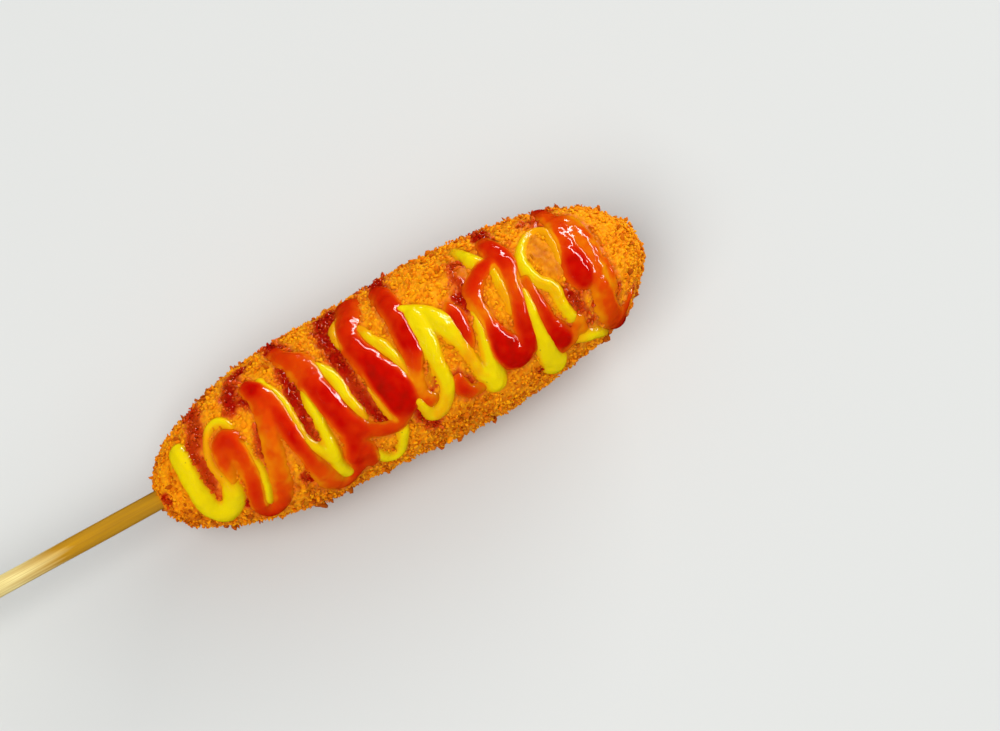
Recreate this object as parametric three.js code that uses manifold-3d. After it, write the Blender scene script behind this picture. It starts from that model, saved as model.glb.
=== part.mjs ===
// Corn dog on a bamboo stick, lying on its side: a crumbed, fried body tapering to
// the stick, with zigzag drizzles of ketchup and mustard across its upper side.
// The body's axis runs along X, stick toward -X and rounded end toward +X; it rests
// on a small flat spot centred on the origin. Millimetres, +Z up.

import * as THREE from "three";
import { mergeVertices } from "three/addons/utils/BufferGeometryUtils.js";
import Module from "manifold-3d";

// ---- Body ----
const BODY_LENGTH = 158.5;
const FLAT_STATION = 86; // from the stick end of the body to the origin
const SINK = 0.9; // how far the round underside is pressed flat
const FLAT_LENGTH = 46; // a plain rectangle, so that the body lies still on it
const FLAT_WIDTH = 18.6;
const FLAT_RIM = 0.4; // the rest of the underside stays this far off the ground
const MOUTH_RADIUS = 3.9; // collar of batter around the stick

// [station from the stick end, radius of the crust]
const OUTLINE = [
  [0, MOUTH_RADIUS],
  [4, 8.7],
  [10, 13.7],
  [20, 18],
  [38, 22.4],
  [62, 23.7],
  [90, 25],
  [116, 23.2],
  [134, 20.5],
  [146, 16],
  [154, 9.8],
  [157.6, 4.6],
  [BODY_LENGTH, 0],
];

const CRUST_ROWS = 92;
const CRUST_SECTORS = 58;
const TOP_CROWDING = 0.38; // facets are smaller on the drizzled upper side
const END_THINNING = 0.03; // and rows are wider apart at the two ends
const LUMP_HEIGHT = 0.45; // slow swells of the hand-dipped batter
const CRUMB_HEIGHT = 0.7;
const CRUMB_DRIFT = 0.4; // sideways wander of a crumb, as a share of a facet
const CRUMB_SEED = 41;
const ROW_REACH = 0.8; // crust points this close to the flat spot's border move to it
const SECTOR_REACH = 1.7;

// ---- Stick ----
const STICK_DIAMETER = 5.7;
const STICK_LENGTH = 200;
const STICK_EMBEDDED = 98;
const STICK_CHAMFER = 0.4;
const BORE_CLEARANCE = 0.3;
const BORE_CHAMFER = 0.1;
const STICK_SIDES = 32;

// ---- Drizzles ----
// A rope of sauce runs through [station, degrees from the top, width]; positive
// angles lie toward +Y. Fullness is a rope's height over its width.
const SOAKED_KETCHUP = {
  fullness: 0.3,
  ropes: [
    [[20, 54, 5], [18, 22, 4.4], [16, -4, 3.2], [15, -38, 2.8]],
    [[35, 54, 4.4], [32, 32, 4.2], [34, 4, 3.6], [33, -26, 3]],
    [[51, 54, 5], [49, 22, 4.2], [47, -10, 3.6], [47, -34, 2.8]],
    [[67, 58, 5], [63, 26, 4.2], [64, -2, 3.2], [65, -42, 3.8]],
    [[105, 24, 3.2], [101, 8, 3.6], [100, -4, 3.2]],
  ],
};

const MUSTARD = {
  fullness: 0.5,
  ropes: [
    [[12, 14, 5.8], [11, -20, 5.6], [12, -46, 5.6], [16, -60, 6.4], [19, -44, 4.6], [19, -12, 3.2]],
    [[19, -14, 3.2], [21, 12, 3.2], [25, 18, 3.4], [28, 10, 3.4], [29, -20, 3], [28, -64, 3.2]],
    [[28, -64, 3.2], [33, -28, 3.6], [38, 8, 3.6], [40, 28, 3.6]],
    [[40, 28, 3.6], [43, 0, 3.8], [45, -28, 3.4], [49, -48, 4], [51, -71, 3.6]],
    [[49, -50, 3.8], [51, -20, 3.8], [50, 8, 3.2], [53, 20, 3.2], [57, 11, 3.6], [60, -40, 3.4]],
    [[60, -38, 3.4], [61, -62, 3.8], [65, -76, 4], [69, -62, 3.8], [69, -38, 3.4], [67, -2, 3.2]],
    [[67, -4, 3.2], [65, 22, 3.2], [68, 36, 3.2], [72, 36, 3.2], [74, 8, 3.8], [78, -18, 3.4]],
    [[78, -16, 3.4], [78, -40, 3.8], [80, -56, 4], [84, -52, 4.6], [87, -36, 4.2], [87, 10, 5]],
    [[86, 15, 4.2], [90, 6, 6], [94, -10, 5], [96, -33, 4], [98, -46, 5], [99, -54, 6.4]],
    [[99, -54, 6.2], [100, -36, 4.6], [102, -10, 3.6], [105, 10, 3.2]],
    [[107, 44, 3.6], [110, 28, 4.2], [113, 6, 3.5], [112, -20, 2.8]],
    [[118, -4, 2.8], [117, -30, 3.4], [116, -52, 5], [117, -75, 6]],
    [[132, -6, 2.8], [133, 12, 2.8], [128, 24, 2.8], [124, 18, 3.2], [122, 4, 3.6], [126, -18, 3]],
    [[126, -16, 3], [127, -41, 3.2], [130, -60, 3.2], [136, -78, 2.8]],
    [[140, 54, 3.2], [142, 20, 3.4], [142, -14, 3.2], [141, -64, 2.8]],
  ],
};

const KETCHUP = {
  fullness: 0.55,
  ropes: [
    [[21, -33, 3.4], [20, -12, 3.8], [22, 4, 4.2], [25, 9, 4.5], [27, -6, 4.2], [27, -34, 3.6]],
    [[27, -32, 3.6], [26, -56, 3.8], [28, -73, 4], [31, -58, 4], [34, -22, 4], [38, 26, 5]],
    [[38, 27, 5], [40, -5, 4.4], [41, -30, 3.8], [44, -54, 5], [49, -73, 5], [54, -71, 4.6]],
    [[54, -71, 4.6], [57, -46, 4.2], [57, -30, 4]],
    [[51, 46, 4.6], [53, 8, 4.8], [55, -22, 4.6], [57, -38, 4.2], [62, -49, 4], [73, -46, 3.4]],
    [[73, 56, 4.8], [69, 22, 5], [71, -8, 6], [73, -26, 7.4], [73, -42, 5.4]],
    [[84, 68, 5], [82, 30, 4.4], [83, -5, 4.6], [81, -24, 3.8], [79, -38, 4.4], [80, -48, 3.8]],
    [[87, -54, 3.4], [91, -49, 4.6], [96, -55, 4]],
    [[97, -38, 2.8], [97, -20, 3.2], [96, 0, 3.4]],
    [[117, 25, 3.4], [113, 19, 3.6], [108, 14, 4.5], [105, 2, 4], [104, -18, 3.4], [104, -32, 4.8]],
    [[104, -28, 4.4], [106, -45, 6], [110, -46, 5.8], [113, -26, 4.2], [116, 0, 3.8], [117, 56, 4.2]],
    [[118, 20, 4], [119, -10, 3], [120, -32, 3.6], [122, -50, 7]],
    [[120, -57, 5], [125, -56, 3.8], [129, -53, 3], [130, -40, 2.6]],
    [[129, 34, 2.6], [133, 40, 2.8], [137, 52, 4]],
    [[138, 68, 4.2], [137, 36, 5], [135, 5, 4.6], [134, -17, 6.4]],
    [[135, -15, 6], [138, -38, 3.8], [139, -60, 4.6], [141, -82, 4.2], [145, -97, 3.2], [150, -88, 2.6]],
  ],
};

const SAMPLE_STEP = 0.8; // spacing of the points that stand for a rope
const EDGE_REACH = 0.9; // crust points this close to a rope's edge or crest move to it
const EDGE_PULL = 0.75;
const SMOOTH_MARGIN = 1.3; // crumbs keep still within this many half widths of a rope

// ---- Solids ----
const wasm = await Module();
wasm.setup();

function weld(geometry) {
  geometry.deleteAttribute("normal");
  geometry.deleteAttribute("uv");
  return mergeVertices(geometry, 1e-4);
}

function toSolid(geometry) {
  return new wasm.Manifold(
    new wasm.Mesh({
      numProp: 3,
      vertProperties: new Float32Array(geometry.attributes.position.array),
      triVerts: new Uint32Array(geometry.index.array),
    }),
  );
}

function toGeometry(solid) {
  const mesh = solid.getMesh();
  const geometry = new THREE.BufferGeometry();
  geometry.setAttribute("position", new THREE.BufferAttribute(mesh.vertProperties, 3));
  geometry.setIndex(new THREE.BufferAttribute(mesh.triVerts, 1));
  geometry.computeVertexNormals();
  return geometry;
}

// ---- Smooth crust ----
const outline = new THREE.SplineCurve(
  OUTLINE.map(([station, radius]) => new THREE.Vector2(radius, station)),
);

const profile = [];
for (let row = 0; row <= CRUST_ROWS; row++) {
  const even = row / CRUST_ROWS;
  profile.push(outline.getPointAt(even + END_THINNING * Math.sin(2 * Math.PI * even)));
}
profile[CRUST_ROWS].x = 0;
const axisHeight = Math.max(...profile.map((point) => point.x)) - SINK;

function outlineRadius(station) {
  const next = profile.findIndex((point) => point.y > station);
  if (next < 0) return 0;
  if (next === 0) return profile[0].x;
  const [before, after] = [profile[next - 1], profile[next]];
  return THREE.MathUtils.mapLinear(station, before.y, after.y, before.x, after.x);
}

function crustRadius(station, angle) {
  const lump = Math.sin(station / 9 + 2 * angle) + Math.sin(station / 14 - 3 * angle + 1);
  return outlineRadius(station) * (1 + (LUMP_HEIGHT * lump) / 50);
}

// The point at a station, an angle from the top and a height over the smooth crust.
function onCrust(station, angle, height = 0) {
  const radius = crustRadius(station, angle) + height;
  return new THREE.Vector3(
    station - FLAT_STATION,
    radius * Math.sin(angle),
    axisHeight + radius * Math.cos(angle),
  );
}

function angleOf(point) {
  return Math.atan2(point.y, point.z - axisHeight);
}

// ---- Ropes of sauce ----
// Points along the middle of a rope, with its half width and its height there.
function sampleRope(route, fullness) {
  const turns = route.map(([station, degrees]) => onCrust(station, THREE.MathUtils.degToRad(degrees)));
  const curve = new THREE.CatmullRomCurve3(turns, false, "centripetal");
  const steps = Math.ceil(curve.getLength() / SAMPLE_STEP);
  const samples = [];
  for (let step = 0; step <= steps; step++) {
    const place = curve.getUtoTmapping(step / steps) * (route.length - 1);
    const turn = Math.min(Math.floor(place), route.length - 2);
    const width = THREE.MathUtils.lerp(route[turn][2], route[turn + 1][2], place - turn);
    const point = curve.getPointAt(step / steps);
    const centre = onCrust(point.x + FLAT_STATION, angleOf(point));
    samples.push({ centre, half: width / 2, height: width * fullness });
  }
  return samples;
}

const ropes = [SOAKED_KETCHUP, MUSTARD, KETCHUP].flatMap((sauce) =>
  sauce.ropes.map((route) => sampleRope(route, sauce.fullness)),
);

// The sample closest to a point; spread is 0 on a rope's crest and 1 at its edge.
function closestSample(samples, point) {
  let closest = { spread: Infinity };
  for (const sample of samples) {
    const spread = point.distanceTo(sample.centre) / sample.half;
    if (spread < closest.spread) closest = { spread, sample };
  }
  return closest;
}

// Moves a point of the smooth crust sideways, onto a rope's edge or crest if one is near.
function drawToRope(point) {
  const { spread, sample } = closestSample(ropes.flat(), point);
  const wanted = spread > 0.5 ? sample.half : 0;
  const move = wanted - spread * sample.half;
  if (Math.abs(move) > EDGE_REACH || spread < 0.05) return point;
  const outward = point.clone().sub(sample.centre).normalize();
  return point.addScaledVector(outward, move * EDGE_PULL);
}

// The height of the highest rope over a point, rounded off like a bead of sauce.
function sauceHeight(point) {
  let highest = 0;
  for (const rope of ropes) {
    const { spread, sample } = closestSample(rope, point);
    if (spread < 1) highest = Math.max(highest, sample.height * (1 - spread * spread));
  }
  return highest;
}

// ---- Crumbed crust with its drizzles ----
function seeded(seed) {
  let state = seed >>> 0;
  return () => {
    state = (state + 0x6d2b79f5) >>> 0;
    let mixed = Math.imul(state ^ (state >>> 15), 1 | state);
    mixed = (mixed + Math.imul(mixed ^ (mixed >>> 7), 61 | mixed)) ^ mixed;
    return ((mixed ^ (mixed >>> 14)) >>> 0) / 4294967296;
  };
}

// Moves a coordinate that is near the flat spot's border onto the border.
function snapToBorder(value, half, reach) {
  return Math.abs(value) > half - reach ? Math.sign(value) * half : value;
}

// A point of the underside pressed onto the flat spot, or nothing where it is off it.
function pressedFlat({ x, y, z }) {
  const [halfLength, halfWidth] = [FLAT_LENGTH / 2, FLAT_WIDTH / 2];
  const off =
    z > axisHeight ||
    Math.abs(x) > halfLength + ROW_REACH ||
    Math.abs(y) > halfWidth + SECTOR_REACH;
  if (off) return undefined;
  return new THREE.Vector3(
    snapToBorder(x, halfLength, ROW_REACH),
    snapToBorder(y, halfWidth, SECTOR_REACH),
    0,
  );
}

// A crust point pressed flat, moved by its crumb, or raised by the sauce that covers it.
function finished(station, angle, random) {
  const [along, around, crumb] = [random() - 0.5, random() - 0.5, 1.6 * random() - 0.6];
  const flat = pressedFlat(onCrust(station, angle));
  if (flat) return flat;
  const covered = closestSample(ropes.flat(), onCrust(station, angle)).spread < SMOOTH_MARGIN;
  const drift = covered ? 0 : CRUMB_DRIFT;
  const spot = drawToRope(
    onCrust(
      station + (drift * along * BODY_LENGTH) / CRUST_ROWS,
      angle + (drift * around * 2 * Math.PI) / CRUST_SECTORS,
    ),
  );
  const height = Math.max(CRUMB_HEIGHT * crumb, sauceHeight(spot));
  const point = onCrust(spot.x + FLAT_STATION, angleOf(spot), height);
  return point.setZ(Math.max(FLAT_RIM, point.z));
}

function makeCrust() {
  const random = seeded(CRUMB_SEED);
  const crust = weld(new THREE.LatheGeometry([new THREE.Vector2(), ...profile], CRUST_SECTORS));
  const position = crust.attributes.position;
  for (let i = 0; i < position.count; i++) {
    const station = position.getY(i);
    const radius = Math.hypot(position.getX(i), position.getZ(i));
    const even = Math.atan2(-position.getX(i), position.getZ(i));
    const angle = even - TOP_CROWDING * Math.sin(even);
    const atEnd = station < 2 || station > BODY_LENGTH - 1;
    const point = atEnd
      ? new THREE.Vector3(
          station - FLAT_STATION,
          radius * Math.sin(angle),
          axisHeight + radius * Math.cos(angle),
        )
      : finished(station, angle, random);
    position.setXYZ(i, point.x, point.y, point.z);
  }
  return crust;
}

// ---- Stick ----
function makeRod(radius, from, to, chamfer) {
  const rod = new THREE.LatheGeometry(
    [
      new THREE.Vector2(0, from),
      new THREE.Vector2(radius - chamfer, from),
      new THREE.Vector2(radius, from + chamfer),
      new THREE.Vector2(radius, to - chamfer),
      new THREE.Vector2(radius - chamfer, to),
      new THREE.Vector2(0, to),
    ],
    STICK_SIDES,
  );
  rod.rotateZ(-Math.PI / 2);
  rod.translate(-FLAT_STATION, 0, axisHeight);
  return toSolid(weld(rod));
}

// ---- Assembly ----
const bore = makeRod(
  STICK_DIAMETER / 2 + BORE_CLEARANCE,
  -2,
  STICK_EMBEDDED + BORE_CLEARANCE,
  BORE_CHAMFER,
);
const cornDog = new THREE.Mesh(
  toGeometry(toSolid(makeCrust()).subtract(bore)),
  new THREE.MeshStandardMaterial({ color: "#d98216", roughness: 0.75, metalness: 0 }),
);
cornDog.name = "corn_dog";

const rod = makeRod(
  STICK_DIAMETER / 2,
  STICK_EMBEDDED - STICK_LENGTH,
  STICK_EMBEDDED,
  STICK_CHAMFER,
);
const stick = new THREE.Mesh(
  toGeometry(rod),
  new THREE.MeshStandardMaterial({ color: "#c29a4a", roughness: 0.6, metalness: 0 }),
);
stick.name = "stick";

const part = new THREE.Group();
part.add(cornDog, stick);

export default part;
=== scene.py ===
"""Corn dog on a bamboo stick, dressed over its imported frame.

Lays a crumbed crust with loose crumbs, zigzag drizzles of mustard and ketchup and a
bamboo stick where the frame has them, and sets a pale floor, soft lights and the camera.
Shapes are worked out in millimetres and go into the meshes in metres.
"""

import math
from functools import lru_cache

import bpy
import numpy as np
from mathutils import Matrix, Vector, kdtree


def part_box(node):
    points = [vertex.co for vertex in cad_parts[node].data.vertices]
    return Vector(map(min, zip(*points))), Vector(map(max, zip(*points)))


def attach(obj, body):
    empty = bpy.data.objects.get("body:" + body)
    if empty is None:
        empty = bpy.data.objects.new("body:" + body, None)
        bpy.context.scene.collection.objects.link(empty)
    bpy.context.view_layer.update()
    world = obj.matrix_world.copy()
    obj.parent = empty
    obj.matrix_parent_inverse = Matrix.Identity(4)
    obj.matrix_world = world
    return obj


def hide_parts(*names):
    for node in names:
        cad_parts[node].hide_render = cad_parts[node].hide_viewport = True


bl_info = {
    "name": "Corn Dog",
    "version": (1, 0, 0),
    "blender": (4, 5, 0),
    "location": "View3D > Sidebar > Corn Dog",
    "description": "Builds a crumbed corn dog with ketchup and mustard on a bamboo stick",
    "category": "Add Mesh",
}

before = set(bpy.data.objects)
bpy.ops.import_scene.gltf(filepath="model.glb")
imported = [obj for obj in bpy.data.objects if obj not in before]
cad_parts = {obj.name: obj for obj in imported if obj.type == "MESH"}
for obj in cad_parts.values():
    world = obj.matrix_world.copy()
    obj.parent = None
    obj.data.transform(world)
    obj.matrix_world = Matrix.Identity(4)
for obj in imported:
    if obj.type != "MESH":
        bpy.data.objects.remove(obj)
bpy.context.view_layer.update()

MM = 0.001


def middle(node, axis):
    """The middle of a frame node's box along one axis, in millimetres."""
    low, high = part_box(node)
    return (low[axis] + high[axis]) / 2 / MM


# ---- Sizes of the body, in millimetres ----
FLAT_STATION = 86.0  # from the stick end of the body to the origin
AXIS_HEIGHT = middle("stick", 2)
FLAT_HALF_LENGTH = 23.0
FLAT_HALF_WIDTH = 9.3
FLAT_BLEND = 5.0  # over this distance the round underside turns into the flat spot
MOUTH_DEPTH = 1.0  # the batter dips in around the stick
LUMP_HEIGHT = 0.45  # on a body of the common width
BODY_WIDTH = 50.0
LUMPS = ((9, 2, 0), (14, -3, 1))  # length over a radian, waves round the body, start

# Station from the stick end, and radius of the crust.
OUTLINE = np.array(
    [
        (1.4, 3.3), (5, 8.3), (10, 12.8), (20, 17.3), (38, 21.8), (62, 23.4), (90, 24.9),
        (116, 23.5), (134, 20.9), (146, 16.6), (154, 10.4), (157.6, 5), (158.5, 0),
    ]
)

# ---- Drizzles ----
# A rope of sauce runs through (station, degrees from the top toward +Y, width, strength).
# The strength is how much ketchup has soaked in, how clear of ketchup the mustard is, or
# how deep the ketchup's red is, from 0 for a thin orange film. Left out, it is 1.
SOAKED_ROPES = [
    [
        (20.7, 61, 4.6, 0.7), (18.6, 27, 4.3, 0.65), (15.2, 11, 3.4, 0.6),
        (15.4, -12, 2.9, 0.65), (15.1, -28, 2.3, 0.65), (15, -42, 1.7, 0.6),
    ],
    [(35.5, 54, 4.6, 0.75), (32, 36, 4.6, 0.75), (30.7, 22, 3.4, 0.8)],
    [
        (30.7, 30, 2.3, 0.9), (34, 20, 2.3, 1), (36.3, 10, 2, 1), (35.3, 1, 1.4, 0.9),
        (32.3, -17, 1.1, 0.8), (31, -33, 0.9, 0.7),
    ],
    [
        (48.7, 27, 4.6, 0.8), (47.4, 13, 3.4, 0.9), (47, 0, 3.4, 0.9),
        (47.1, -13, 3.4, 0.9), (45.8, -23, 2.9, 0.8), (46, -34, 2.3, 0.6),
    ],
    [
        (67.8, 57, 5.7, 0.9), (64.1, 41, 5.1, 0.9), (63.4, 24, 3.7, 1), (63.6, 11, 3.4, 1),
        (63.3, -1, 3.7, 0.8), (63, -13, 3.7, 0.75), (63.9, -25, 3.7, 0.75),
        (65.3, -37, 3.4, 0.9), (66.9, -46, 2.3, 1),
    ],
    [(105.9, 31, 3.4, 0.5), (104, 18, 4, 0.7), (102.1, 8, 4, 0.9), (101.9, -1, 3.4, 0.9)],
    [(76.7, -47, 2.3, 0.9), (76.9, -56, 2.9, 0.9), (79.4, -65, 2.3, 0.9)],
    [(90.2, -40, 2.9, 0.9), (91.3, -48, 3.1, 0.9)],
    [(129.3, -26, 2.9, 0.7), (130.7, -34, 2.9, 0.8), (131.3, -46, 2.3, 0.6)],
    [(129.2, 43, 2.6, 0.5), (132.2, 41, 3.4, 0.6), (135.5, 39, 3.4, 0.6)],
    [(81.6, 75, 2.3), (83.7, 75, 3.4), (85.2, 76, 4), (84.5, 53, 4)],
    [(117, 70, 2.3), (117.3, 53, 3.4), (117.6, 39, 3.7)],
    [(49.5, 72, 2.6), (50.1, 52, 3.7), (50.8, 40, 4)],
]

MUSTARD_ROPES = [
    [
        (11.3, 24, 4.9, 1), (10.8, 4, 5, 1), (10.7, -16, 5, 1), (11.2, -37, 5.3, 1),
        (12.3, -58, 6, 1), (15.3, -68, 6.4, 1), (18.4, -56, 5.7, 1), (19.6, -43, 4.6, 0.8),
        (19.1, -31, 2.6, 0.3), (17.9, -21, 1.4, 0), (17.7, -7, 1.3, 0), (18.6, 4, 1.3, 0),
        (20.1, 14, 1.4, 0.1), (21.9, 20, 2, 0.6), (24.5, 21, 2.3, 0.9), (26.3, 17, 2, 0.9),
        (27.6, 9, 1.4, 0.5),
    ],
    [
        (26.3, 4, 1.1, 0), (27.4, -5, 1.4, 0), (28.8, -12, 1.4, 0), (28.5, -22, 1.4, 0.2),
        (29.1, -32, 1.7, 0.5), (28.8, -41, 2.3, 0.7), (28.2, -52, 2.6, 0.8),
        (27.3, -66, 2.3, 0.7),
    ],
    [
        (41.1, 29, 2, 0.7), (42, 18, 2.3, 0.9), (43.2, 8, 2.3, 0.9), (43.7, -1, 2, 0.8),
        (43.7, -9, 1.9, 0.6), (43.8, -19, 1.9, 0.5), (44.2, -28, 1.9, 0.5),
        (45.5, -36, 2, 0.5), (47.2, -43, 2.3, 0.6), (48.5, -51, 2.3, 0.7),
    ],
    [
        (50.5, 8, 1.4), (49.9, -2, 2), (49.7, -11, 2.4), (49.8, -21, 2.6), (49.7, -30, 2.6),
        (49.7, -40, 2.7), (49.6, -50, 2.9),
    ],
    [
        (56.1, 21, 0.9, 0.7), (57.4, 12, 2.3, 0.9), (59, 4, 3.1, 0.9), (59.5, -5, 2.9, 0.9),
        (59.7, -14, 2.6, 0.8), (60.5, -22, 2.4, 0.6), (61.2, -29, 2.3, 0.4),
        (61.8, -35, 1.4, 0.3),
    ],
    [
        (59.7, -58, 1.4), (61.4, -70, 2.9), (64.3, -79, 3.1), (67.2, -78, 3.1),
        (68.8, -68, 3.1), (70.2, -58, 2.9),
    ],
    [
        (69.1, 43, 1.4, 0.3), (66.6, 35, 2, 0.4), (65.5, 23, 1.7, 0.2), (66.2, 11, 1.4, 0),
        (67.2, 0, 1.7, 0), (67.4, -9, 2, 0), (67.4, -19, 2.1, 0), (67.8, -28, 2.4, 0),
        (68.7, -38, 2.7, 0.2), (69.5, -45, 2.6, 0.3),
    ],
    [
        (72.8, 25, 1.1, 0.1), (73.5, 18, 2.3, 0.5), (74.1, 10, 2.4, 0.8),
        (75.6, 3, 3.1, 0.7), (76.7, -4, 2.6, 0.8), (77.4, -12, 2.4, 0.5),
        (77.9, -20, 1.7, 0.2), (77.8, -29, 1.4, 0), (77.5, -36, 1.1, 0),
    ],
    [
        (103.2, -6, 1.4), (102.9, -14, 2.3), (102.4, -23, 2.6), (101.6, -31, 2.9),
        (101.2, -39, 3.4), (100.6, -47, 4.3), (100.1, -54, 5.7), (100.1, -59, 5.4),
    ],
    [
        (108.2, 46, 2.3, 0.3), (109.4, 36, 3.1, 0.8), (110.6, 27, 4, 0.9),
        (111.9, 23, 3.1, 0.5),
    ],
    [
        (115.3, 19, 2, 0.4), (114.4, 11, 3.1, 0.6), (113.9, 4, 2.6, 0.5),
        (113.3, -5, 2, 0.2), (112.9, -13, 1.4, 0), (112.5, -21, 0.9, 0),
    ],
    [
        (132, -4, 1.1, 0), (133.2, 4, 2, 0), (133.7, 14, 2.6, 0), (133.8, 24, 2.3, 0),
        (132, 31, 1.7, 0.1), (128.8, 30, 1.7, 0.3), (125.3, 22, 2, 0.8),
        (123.2, 14, 2.6, 0.8), (122.4, 5, 2.9, 0.8), (122.8, -2, 2.9, 0.7),
        (124, -10, 2.9, 0.5), (126, -15, 3.4, 0.5), (127, -21, 3.1, 0.6),
        (126.7, -29, 2.6, 0.7), (127.1, -37, 2.9, 0.8), (127.8, -45, 2.6, 0.6),
    ],
    [
        (140.8, 41, 1.1, 0.5), (142.4, 34, 1.7, 0.2), (143.3, 23, 2, 0.2),
        (143, 10, 1.1, 0.2), (142.8, -2, 1, 0.2), (142.6, -13, 1.1, 0.2),
        (142.5, -22, 2, 0.2), (142.2, -31, 2, 0.2), (141.9, -43, 1.1, 0.2),
        (141.6, -55, 1, 0.2), (141.8, -70, 1, 0.2), (143, -88, 0.9, 0.2),
    ],
    [
        (127.6, -67, 2.3, 0.5), (130.6, -70, 3.4, 0.8), (133.6, -75, 2.9, 0.8),
        (136.8, -90, 1.4, 0.4),
    ],
]

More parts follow.
